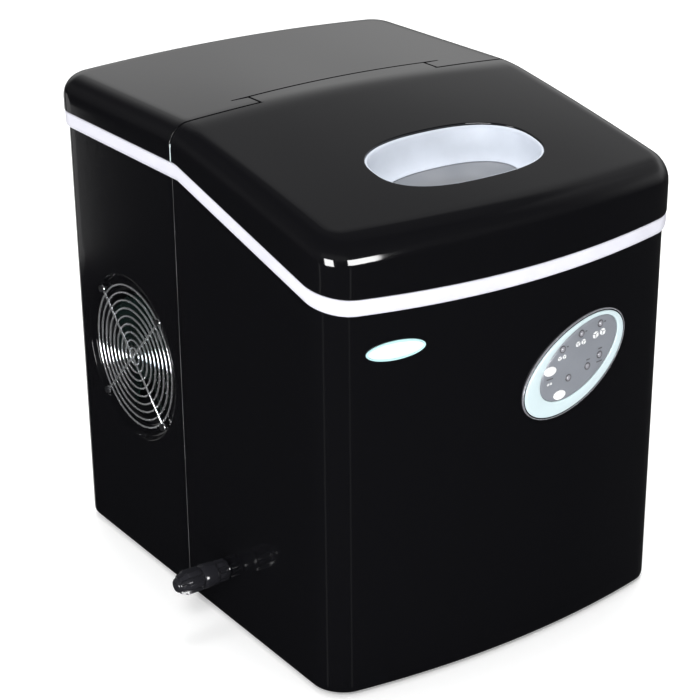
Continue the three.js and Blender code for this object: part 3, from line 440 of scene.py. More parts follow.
# ------------------------------------------------------------------ lid and rear cover
CORE_X = HALF_WIDTH - CORNER_R
CORE_Y = END_Y - CORNER_R
CAP_R = CORNER_R + CAP_PROUD
ROUND_STEPS = 9
FLAT_STEPS = 2
# (outward run from the core, drop below the top surface) round the cap's top edge
CAP_PROFILE = [(r, 0.0) for r in spread(0, CAP_R - TOP_EDGE_R, FLAT_STEPS)]
for step in range(1, ROUND_STEPS + 1):
    turn = math.pi / 2 * step / ROUND_STEPS
    CAP_PROFILE.append(
        (CAP_R - TOP_EDGE_R + TOP_EDGE_R * math.sin(turn), TOP_EDGE_R * (1 - math.cos(turn)))
    )
SKIRT_STEPS = 3
SKIRT_CLEARANCE = 0.5
CAP_LEVELS = list(range(len(CAP_PROFILE) + SKIRT_STEPS))


def cap_point(x, y, out_x, out_y, level):
    """A point on the cap: out from (x, y) to a level of the profile, or down the skirt."""
    run, drop = CAP_PROFILE[min(int(level), len(CAP_PROFILE) - 1)]
    px, py = x + out_x * run, y + out_y * run
    py = bowed(px, py)
    z = top_z(px, py) - drop
    below = (level - len(CAP_PROFILE) + 1) / SKIRT_STEPS
    if below > 0:
        z += (band_top(py) + SKIRT_CLEARANCE - z) * below
    return at(px, py, z)


def core_point(x, y):
    y = bowed(x, y)
    return at(x, y, top_z(x, y))


def corner_patch(patches, x, y, start):
    turns = [math.radians(a) for a in spread(start, start + 90, 10)]
    patches.quad_grid(
        turns,
        CAP_LEVELS,
        lambda turn, level: cap_point(x, y, math.cos(turn), math.sin(turn), level),
        flip=True,
    )


def side_patch(patches, ys, side):
    """The rounded edge and skirt along the left (-1) or right (1) side of a cap."""
    patches.quad_grid(
        ys,
        CAP_LEVELS,
        lambda y, level: cap_point(side * CORE_X, y, side, 0, level),
        flip=side < 0,
    )


tongue = TONGUE_HALF - SEAM_HALF_GAP
lid_back = LID_SEAM_Y - SEAM_HALF_GAP
# The lid's grid runs round to the window inside this width, from the front edge to PATCH_BACK.
PATCH_X = 106.0
PATCH_BACK = WINDOW["y"] + 60.0
lid_xs = sorted(
    {*spread(-CORE_X, -PATCH_X, 7), *spread(-PATCH_X, PATCH_X, 44), *spread(PATCH_X, CORE_X, 7)}
)
lid_ys = sorted({*spread(-CORE_Y, PATCH_BACK, 30), *spread(PATCH_BACK, lid_back, 16)})


def window_rim(turn, grow=0.0):
    u, v = superellipse(WINDOW["a"] + grow, WINDOW["b"] + grow, WINDOW["power"], turn)
    return u, WINDOW["y"] + v


def unbowed(x, y):
    """The y that bowed() moves to the given y."""
    start = y
    for _ in range(24):
        start += y - bowed(x, start)
    return start


def window_cut(turn):
    x, y = window_rim(turn)
    return x, unbowed(x, y)


lid = Patches()
lid.holed(
    lid_xs,
    lid_ys,
    (-PATCH_X, PATCH_X),
    (lid_ys[0], PATCH_BACK),
    window_cut,
    [0, 0.2, 0.4, 0.58, 0.74, 0.87, 0.95, 1.0],
    core_point,
)


def tongue_back(x):
    return TONGUE_Y - SEAM_HALF_GAP + TONGUE_BOW * (1 - (x / tongue) ** 2)


lid.quad_grid(
    [-tongue, *(x for x in lid_xs if abs(x) < tongue), tongue],
    spread(0, 1, 6),
    lambda x, t: core_point(x, lid_back + (tongue_back(x) - lid_back) * t),
)
for side, start in ((-1, 180), (1, 270)):
    corner_patch(lid, side * CORE_X, -CORE_Y, start)
    side_patch(lid, lid_ys, side)
lid.quad_grid(lid_xs, CAP_LEVELS, lambda x, level: cap_point(x, -CORE_Y, 0, -1, level), flip=True)
lid_obj = lid.build("lid_shell", LID_BLACK, "lid", sharp=60)
add_thickness(lid_obj, CAP_WALL, 0.8)
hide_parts("lid")

cover_front = LID_SEAM_Y + SEAM_HALF_GAP
notch = TONGUE_HALF + SEAM_HALF_GAP


def notch_back(x):
    return TONGUE_Y + SEAM_HALF_GAP + TONGUE_BOW * (1 - (x / notch) ** 2)


SLIT = {"length": 15.0, "front": TONGUE_Y - 0.3, "back": TONGUE_Y + SEAM_HALF_GAP, "opening": 1.6}
cover = Patches()
cover_ys = [*spread(cover_front, SLIT["front"], 6), *spread(SLIT["back"], CORE_Y, 26)]
slit_end = notch + SLIT["length"]


def wing_point(x, y):
    """The cover's top, with the relief slit opening towards the lid's tongue."""
    if abs(y - SLIT["front"]) < 0.01 and abs(x) < slit_end:
        y -= SLIT["opening"] * (slit_end - abs(x)) / SLIT["length"]
    return core_point(x, y)


for side in (-1, 1):
    wing_xs = spread(side * notch, side * slit_end, 4)
    wing_xs += spread(side * slit_end, side * CORE_X, 8)[1:]
    cover.quad_grid(
        sorted(wing_xs),
        cover_ys,
        wing_point,
        lambda x, y: abs(x) < slit_end and SLIT["front"] < y < SLIT["back"],
    )
    side_patch(cover, cover_ys, side)
back_fractions = [(y - SLIT["back"]) / (CORE_Y - SLIT["back"]) for y in cover_ys if y >= SLIT["back"]]
cover.quad_grid(
    spread(-notch, notch, 40),
    back_fractions,
    lambda x, t: core_point(x, notch_back(x) + (CORE_Y - notch_back(x)) * t),
)
rear_xs = sorted(
    {
        *spread(-CORE_X, -slit_end, 8),
        *spread(-slit_end, -notch, 4),
        *spread(-notch, notch, 40),
        *spread(notch, slit_end, 4),
        *spread(slit_end, CORE_X, 8),
    }
)
cover.quad_grid(rear_xs, CAP_LEVELS, lambda x, level: cap_point(x, CORE_Y, 0, 1, level))
for side, start in ((1, 0), (-1, 90)):
    corner_patch(cover, side * CORE_X, CORE_Y, start)
cover_obj = cover.build("rear_cover_shell", LID_BLACK, "casing", sharp=60)
add_thickness(cover_obj, CAP_WALL, 0.6)
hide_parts("rear_cover")

# ------------------------------------------------------------------ window
WINDOW_STEPS = 96
# (grow, height over the lid's top surface) from the outer flange over the rim and down the well
WELL = [(6, -5.5), (6, -3.2), (1.5, -3.0), (0.2, -1.6), (-0.3, -0.9), (-0.9, -0.8), (-1.5, -1.2)]
WELL += [(-2.1, -3.0), (-3.2, -8.0), (-5.0, -14.0), (-8.0, -20.0), (-12.0, -24.5), (-13.5, -25.2)]
WELL += [(-14.2, -26.0), (-13.0, -27.6), (-8.0, -24.5), (-3.5, -17.0), (-0.5, -9.0), (1.0, -5.5)]
BACK_SINK = 1.2
BACK_SINK_DEPTH = 8


def window_point(turn, grow, height):
    """The well's rim sits a little deeper at the back, where the lid's own edge shows above it."""
    x, y = window_rim(turn, grow)
    sunk = BACK_SINK * max(0.0, math.sin(turn)) * max(0.0, 1 + height / BACK_SINK_DEPTH)
    return at(x, y, top_z(x, y) + height - sunk)


well = Patches()
window_turns = [2 * math.pi * i / WINDOW_STEPS for i in range(WINDOW_STEPS)]
well.ring_grid(
    WINDOW_STEPS,
    [*range(len(WELL)), 0],
    lambda i, k: window_point(window_turns[i], *WELL[k]),
)
well_obj = well.build("window_well", WINDOW_WHITE, "lid", sharp=75)
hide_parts("window_frame")
# The lens is an opaque grey disc at the foot of the well, its grey a painted shade for the interior seen
# through the window.
lens = Patches()
LENS_GROWS = [-13.8, -20, -26, -32, -38, -41.7]
LENS_TOP = -26.6
LENS_UNDER = -28.2
for height, flip in ((LENS_TOP, False), (LENS_UNDER, True)):
    lens.ring_grid(
        WINDOW_STEPS,
        LENS_GROWS,
        lambda i, g, h=height: window_point(window_turns[i], g, h),
        flip=flip,
    )
lens.ring_grid(
    WINDOW_STEPS,
    [LENS_TOP, LENS_UNDER],
    lambda i, h: window_point(window_turns[i], LENS_GROWS[0], h),
)
lens_obj = lens.build("window_lens", LENS_GREY, "lid", sharp=40)
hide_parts("lid_window")

# ------------------------------------------------------------------ trim band
def outline_stations():
    """(x, y, outward x, outward y) round the unbowed casing, anticlockwise from the right."""
    stations = []

    def corner(x, y, start):
        for turn in spread(start, start + 90, 12):
            a = math.radians(turn)
            stations.append((x, y, math.cos(a), math.sin(a)))

    corner(CORE_X, CORE_Y, 0)
    stations.extend((x, CORE_Y, 0, 1) for x in spread(CORE_X, -CORE_X, 24)[1:-1])
    corner(-CORE_X, CORE_Y, 90)
    ys = sorted({*spread(-CORE_Y, CORE_Y, 72), KINK_Y - 1.5, KINK_Y - 3, KINK_Y, SHELL_SEAM_Y})
    stations.extend((-CORE_X, y, -1, 0) for y in ys[::-1][1:-1])
    corner(-CORE_X, -CORE_Y, 180)
    stations.extend((x, -CORE_Y, 0, -1) for x in spread(-CORE_X, CORE_X, 48)[1:-1])
    corner(CORE_X, -CORE_Y, 270)
    stations.extend((CORE_X, y, 1, 0) for y in ys[1:-1])
    return stations


def wall_point(station, offset, height):
    """A point offset from the casing wall; height is a number, or a function of y."""
    x, y, out_x, out_y = station
    px = x + out_x * (CORNER_R + offset)
    py = bowed(px, y + out_y * (CORNER_R + offset))
    return at(px, py, height(py) if callable(height) else height)


# (distance out of the wall, height over the band's top edge)
BAND_PROFILE = [(-2.5, 0), (1.6, 0), (2.5, -0.3), (2.9, -0.9), (3.0, -1.8), (3.0, -9.4), (2.75, -11.2)]
BAND_PROFILE += [(2.2, -12.7), (1.4, -13.6), (0.4, -14.0), (-2.5, -14.0)]
stations = outline_stations()
band = sweep_rings(
    "trim_band_moulding",
    [
        [wall_point(s, offset, lambda y, d=dz: band_top(y) + d) for offset, dz in BAND_PROFILE]
        for s in stations
    ],
    BAND_WHITE,
    "casing",
    closed=True,
    sharp=60,
)
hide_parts("trim_band")

# ------------------------------------------------------------------ shells
HEIGHTS = [0, 0.4, 1.2, 2.6, 5, 9, 15]
# How far the wall turns in at the heights next to its bottom edge
FOOT_CURL = {0: -2.4, 0.4: -1.4, 1.2: -0.6, 2.6: -0.15}
STRETCH_FROM = 300
STRETCH_TO = 320
BAND_CLEARANCE = 0.3
HOLE_FRACTIONS = [0, 0.3, 0.6, 0.85, 1.0]


def shell_height(z):
    """Heights from STRETCH_FROM to STRETCH_TO reach up to the underside of the sloping trim band."""
    if z <= STRETCH_FROM:
        return z
    share = (z - STRETCH_FROM) / (STRETCH_TO - STRETCH_FROM)
    return lambda y: STRETCH_FROM + share * (band_top(y) - BAND_HEIGHT - BAND_CLEARANCE - STRETCH_FROM)


def wall_at(x, y, out_x, out_y, z):
    return wall_point((x, y, out_x, out_y), FOOT_CURL.get(z, 0.0), shell_height(z))


def corner_stations(x, y, start):
    """Stations round one vertical corner of the casing, from a start angle in degrees."""
    turns = map(math.radians, spread(start, start + 90, 16))
    return [(x, y, math.cos(a), math.sin(a)) for a in turns]


def shell_wall(patches, group):
    patches.quad_grid(list(range(len(group))), shell_zs, lambda i, z: wall_at(*group[i], z))


stretch_zs = spread(STRETCH_FROM, STRETCH_TO, 6)
shell_zs = [*HEIGHTS, *spread(24, STRETCH_FROM, 32), *stretch_zs[1:]]
seam_front = SHELL_SEAM_Y - SHELL_GAP
seam_rear = SHELL_SEAM_Y + SHELL_GAP
side_front_ys = spread(-CORE_Y, seam_front, 30)
front_xs = spread(-CORE_X, CORE_X, 60)
# The front's grid runs round to the panel's hole between these columns and heights.
PANEL_COLUMNS = (30, 53)
PANEL_ZS = (190, 285)
PANEL_HOLE_GROW = -4.0
panel_span_x = (front_xs[PANEL_COLUMNS[0]], front_xs[PANEL_COLUMNS[1]])
panel_zs = [z for z in shell_zs if PANEL_ZS[0] <= z <= PANEL_ZS[1]]
panel_span_z = (panel_zs[0], panel_zs[-1])

front = Patches()
left_side = [(-CORE_X, y, -1, 0) for y in side_front_ys[::-1]]
right_side = [(CORE_X, y, 1, 0) for y in side_front_ys]
left_corner = corner_stations(-CORE_X, -CORE_Y, 180)
right_corner = corner_stations(CORE_X, -CORE_Y, 270)
for group in (left_side, left_corner, right_corner, right_side):
    shell_wall(front, group)
front.holed(
    front_xs,
    shell_zs,
    panel_span_x,
    panel_span_z,
    lambda turn: on_ellipse(PANEL, PANEL_HOLE_GROW, turn - math.radians(PANEL["turn"])),
    HOLE_FRACTIONS,
    lambda x, z: wall_at(x, -CORE_Y, 0, -1, z),
)
front_obj = front.build("front_shell_skin", BODY_BLACK, "casing", sharp=60)
add_thickness(front_obj, SHELL_WALL, 0.9)
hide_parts("front_shell")

rear = Patches()
rear_ys = spread(seam_rear, CORE_Y, 34)
# The left wall's grid runs round to the fan's dish within these distances.
FAN_REACH = 86
FAN_ZS = (105, 280)
fan_ys = [y for y in rear_ys if abs(y - FAN["y"]) < FAN_REACH]
fan_zs = [z for z in shell_zs if FAN_ZS[0] <= z <= FAN_ZS[1]]


def fan_hole(turn):
    r = FAN["dish"] + 1.0
    return FAN["y"] + r * math.cos(turn), FAN["z"] + r * math.sin(turn)


rear.holed(
    rear_ys,
    shell_zs,
    (fan_ys[0], fan_ys[-1]),
    (fan_zs[0], fan_zs[-1]),
    fan_hole,
    HOLE_FRACTIONS,
    lambda y, z: wall_at(-CORE_X, y, -1, 0, z),
)
rear.faces = [f[::-1] for f in rear.faces]
# (radius, depth) from the wall over the dish's edge to the round opening
DISH = [(76, 0), (75.4, 0.15), (74.9, 0.6), (74.6, 1.4), (73.4, 4.2), (72.9, 4.8), (72.2, 5.0)]
DISH += [(67, 5.0), (63.4, 5.0), (62.4, 5.3), (62, 6.2)]
DISH_TURNS = 112


def dish_point(i, k):
    turn = 2 * math.pi * i / DISH_TURNS
    r, depth = DISH[k]
    return at(-HALF_WIDTH + depth, FAN["y"] + r * math.cos(turn), FAN["z"] + r * math.sin(turn))


rear.ring_grid(DISH_TURNS, range(len(DISH)), dish_point)

SLOT_SIDE = (48.0, 148.0)
SLOT_REAR = (-70.0, 70.0)
SLOT_HEIGHT = 5
REAR_RISE = 40
side_lows = [130 + 15 * i for i in range(9)]
rear_lows = [low + REAR_RISE for low in side_lows]


def slot_edges(lows):
    """Heights of the lower and upper edge of every slot."""
    return [*lows, *(low + SLOT_HEIGHT for low in lows)]


side_zs = sorted({*HEIGHTS, *spread(24, 120, 10), *slot_edges(side_lows), 270, 285, *stretch_zs})
rear_zs = sorted({*HEIGHTS, *spread(24, 160, 14), *slot_edges(rear_lows), *stretch_zs})
vent_ys = sorted(
    {*spread(seam_rear, SLOT_SIDE[0], 8), *spread(*SLOT_SIDE, 20), *spread(SLOT_SIDE[1], CORE_Y, 8)}
)
vent_xs = sorted(
    {*spread(-CORE_X, SLOT_REAR[0], 16), *spread(*SLOT_REAR, 28), *spread(SLOT_REAR[1], CORE_X, 16)}
)


def in_slot(span, lows):
    """Tests whether a cell's middle lies in a vent slot."""
    return lambda u, z: span[0] < u < span[1] and any(low < z < low + SLOT_HEIGHT for low in lows)


rear.quad_grid(
    vent_ys,
    side_zs,
    lambda y, z: wall_at(CORE_X, y, 1, 0, z),
    in_slot(SLOT_SIDE, side_lows),
)
rear.quad_grid(
    vent_xs,
    rear_zs,
    lambda x, z: wall_at(x, CORE_Y, 0, 1, z),
    in_slot(SLOT_REAR, rear_lows),
    flip=True,
)
for x, start in ((CORE_X, 0), (-CORE_X, 90)):
    shell_wall(rear, corner_stations(x, CORE_Y, start))
rear_obj = rear.build("rear_shell_skin", BODY_BLACK, "casing", sharp=60)
add_thickness(rear_obj, SHELL_WALL, 0.4)
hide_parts("rear_shell")

# A lip in the shell seam on both sides, painted pale grey as a highlight for the seam's rounded edges:
# (out, along y).
LIP = [(-2.6, -0.55), (-0.5, -0.36), (-0.2, -0.2), (-0.1, 0.0), (-0.2, 0.2), (-0.5, 0.36), (-2.6, 0.55)]
LIP_FROM = 2.6
for side, label in ((-1, "left"), (1, "right")):
    lip = sweep_rings(
        f"seam_highlight_lip_{label}",
        [
            [
                wall_point((side * CORE_X, SHELL_SEAM_Y + dy, side, 0), out, shell_height(z))
                for out, dy in LIP
            ]
            for z in shell_zs
            if z >= LIP_FROM
        ],
        SEAM_HIGHLIGHT_GREY,
        "casing",
        sharp=60,
    )

# A pale strip in the lower part of the seam between the lid and the cover, in the badge's white: a painted
# highlight for the bright line of light in that seam.
LID_SEAM_LIGHT_SECTION = [(-2.4, -0.55), (-0.5, -0.5), (-0.2, -0.35), (-0.1, 0), (-0.2, 0.35), (-0.5, 0.5)]
LID_SEAM_LIGHT_SECTION += [(-2.4, 0.55)]
LID_SEAM_LIGHT_END_GAP = 0.15
skirt_start = len(CAP_PROFILE) - 1
for side, label in ((-1, "left"), (1, "right")):
    edge = sweep_rings(
        f"lid_seam_light_strip_{label}",
        [
            [
                cap_point(side * CORE_X, LID_SEAM_Y + dy, side, 0, level)
                + Vector((side * out / 1000, 0, 0))
                for out, dy in LID_SEAM_LIGHT_SECTION
            ]
            for level in spread(skirt_start - 1, skirt_start + SKIRT_STEPS - LID_SEAM_LIGHT_END_GAP, 8)
        ],
        BADGE_WHITE,
        "casing",
        sharp=60,
    )

# ------------------------------------------------------------------ control panel and badge
OVAL_STEPS = 120


def on_front(x, z, out):
    """A point out in front of the bowed wall, in mm."""
    return at(x, front_y(x) - out, z)


def oval_point(oval, grow, out, i):
    return on_front(*on_ellipse(oval, grow, 2 * math.pi * i / OVAL_STEPS), out)


def oval_rings(patches, oval, profile, centre=None):
    """Rings (grow, out) round an oval on the front; centre closes the middle."""
    patches.ring_grid(OVAL_STEPS, range(len(profile)), lambda i, k: oval_point(oval, *profile[k], i))
    if centre is not None:
        start = len(patches.verts)
        patches.verts += [oval_point(oval, *profile[-1], i) for i in range(OVAL_STEPS)]
        patches.verts.append(on_front(oval["x"], oval["z"], centre))
        for i in range(OVAL_STEPS):
            patches.faces.append([start + i, start + (i + 1) % OVAL_STEPS, start + OVAL_STEPS])


rim = Patches()
RIM_PROFILE = [(-3.0, 0.0), (0.0, 0.05), (0.0, 1.1), (-0.15, 1.4), (-0.5, 1.6), (-0.8, 1.5)]
RIM_PROFILE += [(-0.9, 1.3), (-0.9, 0.3)]
oval_rings(rim, PANEL, RIM_PROFILE)
rim_obj = rim.build("panel_rim", RIM_CHROME, "casing", sharp=40)

seal = Patches()
SEAL_PROFILE = [(-0.95, 0.3), (-0.95, 1.2), (-1.05, 1.3), (-1.8, 1.3), (-1.9, 1.2), (-1.9, 0.3)]
oval_rings(seal, PANEL, SEAL_PROFILE)
seal_obj = seal.build("panel_seal", BODY_BLACK, "casing", sharp=40)

# (share of the way from the bezel's outer edge to the faceplate's edge, distance out)
BEZEL = [(0, 0.3), (0, 1.35), (0.03, 1.7), (0.08, 2.0), (0.2, 2.3), (0.5, 2.4), (0.86, 2.2)]
BEZEL += [(0.95, 2.0), (1, 1.7), (1, -4.0)]
BEZEL_OUTER_GROW = -1.95
BEZEL_INNER_GROW = 0.3


def bezel_point(i, k):
    t, out = BEZEL[k]
    turn = 2 * math.pi * i / OVAL_STEPS
    x0, z0 = on_ellipse(PANEL, BEZEL_OUTER_GROW, turn - math.radians(PANEL["turn"]))
    x1, z1 = on_ellipse(FACE, BEZEL_INNER_GROW, turn - math.radians(FACE["turn"]))
    return on_front(x0 + (x1 - x0) * t, z0 + (z1 - z0) * t, out)


bezel = Patches()
bezel.ring_grid(OVAL_STEPS, range(len(BEZEL)), bezel_point)
bezel_obj = bezel.build("panel_bezel", AQUA, "casing", sharp=50)
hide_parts("control_bezel")
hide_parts("control_bezel")

face = Patches()
FACE_PROFILE = [(0, -1.4), (0, 1.2), (-0.5, 1.6), (-4, 1.72), (-12, 1.75), (-18, 1.78), (-22, 1.8)]
oval_rings(face, FACE, FACE_PROFILE, centre=1.8)
face_obj = face.build("panel_face", FACE_GREY, "casing", sharp=60)
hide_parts("control_faceplate")

INDICATORS = {
    "large": (83.5, 268.1),
    "medium": (61.7, 265.1),
    "small": (41.0, 256.9),
    "power": (48.4, 230.1),
    "full": (70.0, 234.3),
    "water": (84.0, 240.4),
}


def round_on_front(name, x, z, profile, finish, body, out0=1.75, steps=32, squash=(1.0, 1.0)):
    """A turned piece on the front wall: profile is (radius, height above out0)."""
    patches = Patches()

    def place(i, k):
        radius, rise = profile[k]
        turn = 2 * math.pi * i / steps
        u, v = radius * squash[0] * math.cos(turn), radius * squash[1] * math.sin(turn)
        return on_front(x + u, z + v, out0 + rise)

    patches.ring_grid(steps, range(len(profile)), place)
    return patches.build(name, finish, body, sharp=50)


LAMP_RING = [(2.3, -0.2), (2.3, 0.35), (2.6, 0.5), (3.0, 0.5), (3.25, 0.3), (3.3, -0.2)]
LAMP_DOME = [(2.35, -0.6), (2.35, 0.25), (2.1, 0.7), (1.6, 1.05), (0.9, 1.25), (0.02, 1.3)]
for label, (x, z) in INDICATORS.items():
    ring = round_on_front(f"indicator_ring_{label}", x, z, LAMP_RING, PRINT_DARK, "casing")
    dome = round_on_front(f"indicator_{label}", x, z, LAMP_DOME, INDICATOR, "casing")
    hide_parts("indicator_lenses")

BUTTON_PROFILE = [(1.0, -4.6), (1.0, 0.9), (0.975, 1.3), (0.92, 1.55), (0.8, 1.72), (0.5, 1.86)]
BUTTON_PROFILE += [(0.2, 1.9), (0.002, 1.9)]
KEY_HALVES = (6.4, 3.9)
for label, (x, z) in {"select": (27.8, 241.3), "power": (38.9, 217.7)}.items():
    button = round_on_front(
        f"{label}_key",
        x,
        z,
        BUTTON_PROFILE,
        BUTTON_WHITE,
        f"{label}_button",
        out0=1.3,
        steps=48,
        squash=KEY_HALVES,
    )
    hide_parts(f"{label}_button")


PRINT_OUT = 1.84
PRINT_LIFT = 0.06


def print_on_face(name, polygons, finish):
    """Thin printed marks: each polygon is a list of (x, z) on the faceplate."""
    verts, faces = [], []
    for polygon in polygons:
        n = len(polygon)
        start = len(verts)
        for height in (PRINT_OUT, PRINT_OUT + PRINT_LIFT):
            verts += [on_front(x, z, height) for x, z in polygon]
        faces.append([start + n + i for i in range(n)])
        for i in range(n):
            j = (i + 1) % n
            faces.append([start + i, start + j, start + n + j, start + n + i])
    obj = make_object(name, verts, faces, finish, "casing", merge=0)
    return obj


def cube_mark(x, z, size, tilt):
    """Three faces of a little ice cube."""
    c, s = math.cos(math.radians(tilt)), math.sin(math.radians(tilt))
    h, gap = size / 2, size * 0.07
    raw = [
        [(-h, -h * 0.45), (-gap, -h * 0.9), (-gap, h * 0.1), (-h, h * 0.5)],
        [(gap, -h * 0.9), (h, -h * 0.45), (h, h * 0.5), (gap, h * 0.1)],
        [(-h * 0.92, h * 0.68), (0, h * 0.3), (h * 0.92, h * 0.68), (0, h * 1.05)],
    ]
    return [[(x + u * c - v * s, z + u * s + v * c) for u, v in poly] for poly in raw]


marks = []
for x, z, size in ((82.5, 259.2, 6.4), (61.3, 256.7, 4.9), (40.6, 249.5, 3.9), (27.6, 229.9, 2.3)):
    marks += cube_mark(x - size * 0.64, z, size, 8)
    marks += cube_mark(x + size * 0.64, z + size * 0.1, size, -14)
print_on_face("cube_marks", marks, PRINT_WHITE)


DASH_HALF_HEIGHT = 0.55


def dash(x, z, length):
    """A plain bar that stands where a label would."""
    signs = ((-1, -1), (1, -1), (1, 1), (-1, 1))
    return [(x + u * length / 2, z + v * DASH_HALF_HEIGHT) for u, v in signs]


dashes = [dash(89.0, 268.6, 2.0), dash(67.0, 266.0, 2.0), dash(46.5, 258.0, 2.0), dash(27.8, 234.4, 7.0)]
dashes += [dash(70.5, 240.0, 4.0), dash(84.5, 246.0, 4.5), dash(84.0, 234.6, 6.5)]
print_on_face("label_dashes", dashes, PRINT_DARK)

BADGE_RIM = [(0, 0.1), (0, 1.2), (-0.2, 1.5), (-0.6, 1.6), (-1.1, 1.55), (-1.35, 1.3), (-1.4, 0.6)]
BADGE_INLAY = [(-1.6, 0.4), (-1.6, 1.15), (-1.8, 1.35), (-2.4, 1.4), (-5.0, 1.5)]
for name, profile, finish, centre in (
    ("badge_rim", BADGE_RIM, AQUA_EDGE, None),
    ("badge_inlay", BADGE_INLAY, BADGE_WHITE, 1.5),
):
    badge = Patches()
    oval_rings(badge, BADGE, profile, centre=centre)
    badge_obj = badge.build(name, finish, "casing", sharp=60)
    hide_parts("badge")

# ------------------------------------------------------------------ fan grille
WIRE_X = -HALF_WIDTH + 3.2
RING_COUNT = 9
RING_OUTER = 65
RING_GAP = 7.15
CROSS_X = WIRE_X - 1.7
EYE_R = 2.5
EYE_STEPS = 16


def wire(name, points, radius, closed=False, sides=10):
    """A round wire of the grille, bent along points in mm."""
    rings = []
    count = len(points)
    vectors = [Vector(p) for p in points]
    side = None
    for k, p in enumerate(vectors):
        ahead = vectors[(k + 1) % count] if closed or k + 1 < count else p
        behind = vectors[k - 1] if closed or k > 0 else p
        run = (ahead - behind).normalized()
        if side is None:
            side = run.orthogonal().normalized()
        side = (side - run * side.dot(run)).normalized()
        up = run.cross(side)
        rings.append(
            [
                at(*(p + (side * math.cos(a) + up * math.sin(a)) * radius))
                for a in [2 * math.pi * i / sides for i in range(sides)]
            ]
        )
    return sweep_rings(name, rings, WIRE_CHROME, "casing", closed=closed, sharp=70)


def fan_point(radius, turn, x):
    return (x, FAN["y"] + radius * math.cos(turn), FAN["z"] + radius * math.sin(turn))


for i in range(RING_COUNT):
    radius = RING_OUTER - RING_GAP * i
    steps = 96 if radius > 30 else 56
    loop = [fan_point(radius, 2 * math.pi * k / steps, WIRE_X) for k in range(steps)]
    ring = wire(f"grille_ring_{i + 1}", loop, 0.9, closed=True)
    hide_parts("fan_grille")
for i, turn in enumerate((math.radians(45), math.radians(135))):
    # Each cross wire ends in a loop round its screw.
    path = []
    for end in (-1, 1):
        loop = []
        for k in range(EYE_STEPS - 1):
            a = turn + (math.pi if end > 0 else 0) + 2 * math.pi * k / EYE_STEPS * end
            loop.append(
                (
                    CROSS_X,
                    FAN["y"] + end * FAN["screws"] * math.cos(turn) + EYE_R * math.cos(a),
                    FAN["z"] + end * FAN["screws"] * math.sin(turn) + EYE_R * math.sin(a),
                )
            )
        path += loop[::-1] if end < 0 else loop
    cross = wire(f"grille_cross_{i + 1}", path, 0.95, sides=8)
    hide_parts("fan_grille")

# ------------------------------------------------------------------ drain
DRAIN_STEPS = 96
LOBES = 6
LOBE_EDGE = 6.0


def turned_piece(name, profile, body, lobe_depth, lobe_span):
    """A piece turned about the drain's axis; profile is (distance out, radius).

    Between the distances of lobe_span its rim dips by lobe_depth between the lobes.
    """
    patches = Patches()

    def place(i, k):
        out, radius = profile[k]
        turn = 2 * math.pi * i / DRAIN_STEPS
        if lobe_span[0] <= out <= lobe_span[1]:
            wave = math.cos(LOBES * turn)
            radius -= lobe_depth * (0.5 - 0.5 * math.tanh(LOBE_EDGE * wave) / math.tanh(LOBE_EDGE))
        y = DRAIN["y"] + radius * math.cos(turn)
        return at(-HALF_WIDTH - out, y, DRAIN["z"] + radius * math.sin(turn))

    patches.ring_grid(DRAIN_STEPS, range(len(profile)), place, flip=True)
    return patches.build(name, DRAIN_BLACK, body, sharp=45)


FITTING = [(-24, 0.05), (-24, 6.9), (-3, 6.9), (0.3, 6.9), (0.3, 8.0), (0.8, 9.2), (1.4, 9.6)]
FITTING += [(9.4, 9.6), (10.2, 9.2), (10.6, 8.2), (11.0, 8.2), (11.4, 9.4), (12.2, 10.2)]
FITTING += [(14.0, 10.6), (22.0, 10.6), (24.6, 10.2), (25.8, 9.4), (26.0, 6.2), (36, 6.0), (36, 0.05)]
fitting = turned_piece("drain_body", FITTING, "casing", 1.7, (0.8, 9.5))
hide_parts("drain_fitting")
CAP_SHAPE = [(37.9, 0.05), (37.9, 6.3), (26.4, 6.3), (26.4, 9.2), (26.9, 10.2), (27.8, 10.6), (40.4, 10.6)]
CAP_SHAPE += [(41.4, 10.2), (42.2, 9.2), (45.6, 8.4), (46.6, 7.9), (47.2, 6.6), (48.6, 6.2), (49.6, 5.4)]
CAP_SHAPE += [(50.0, 4.2), (50.0, 0.05)]
cap_obj = turned_piece("drain_knob", CAP_SHAPE, "drain_cap", 2.6, (26.8, 46.8))
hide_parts("drain_cap")

# ------------------------------------------------------------------ carried-over CAD nodes
EDGES = {
    "ice_basket": 0.5, "inner_tub": 0.8, "water_tray": 0.4, "ice_shovel": 0.4, "evaporator_cover": 0.4,
    "tray_motor": 0.8, "water_pump": 0.6, "compressor": 1.0, "base_pan": 0.5, "fan_frame": 0.8,
    "tub_insulation": 0.8, "cord_gland": 0.6, "control_board": 0.2, "main_board": 0.3, "evaporator": 0.4,
    "ice_sensor_emitter": 0.6, "ice_sensor_receiver": 0.6,
}
replaced = {
    "lid", "rear_cover", "window_frame", "lid_window", "trim_band", "front_shell", "rear_shell",
    "control_bezel", "control_faceplate", "indicator_lenses", "select_button", "power_button", "badge",
    "fan_grille", "drain_fitting", "drain_cap",
}
for name in nodes:
    if name not in replaced:
        finish_node(name, EDGES.get(name, 0))
# The rotor's faint blue-green tint is a painted glint.
nodes["fan_rotor"].data.materials[0] = FAN_SMOKE_GLINT_TINT
for i in range(4):
    nodes[f"grille_screw_{i + 1}"].data.materials[0] = SCREW_BLACK

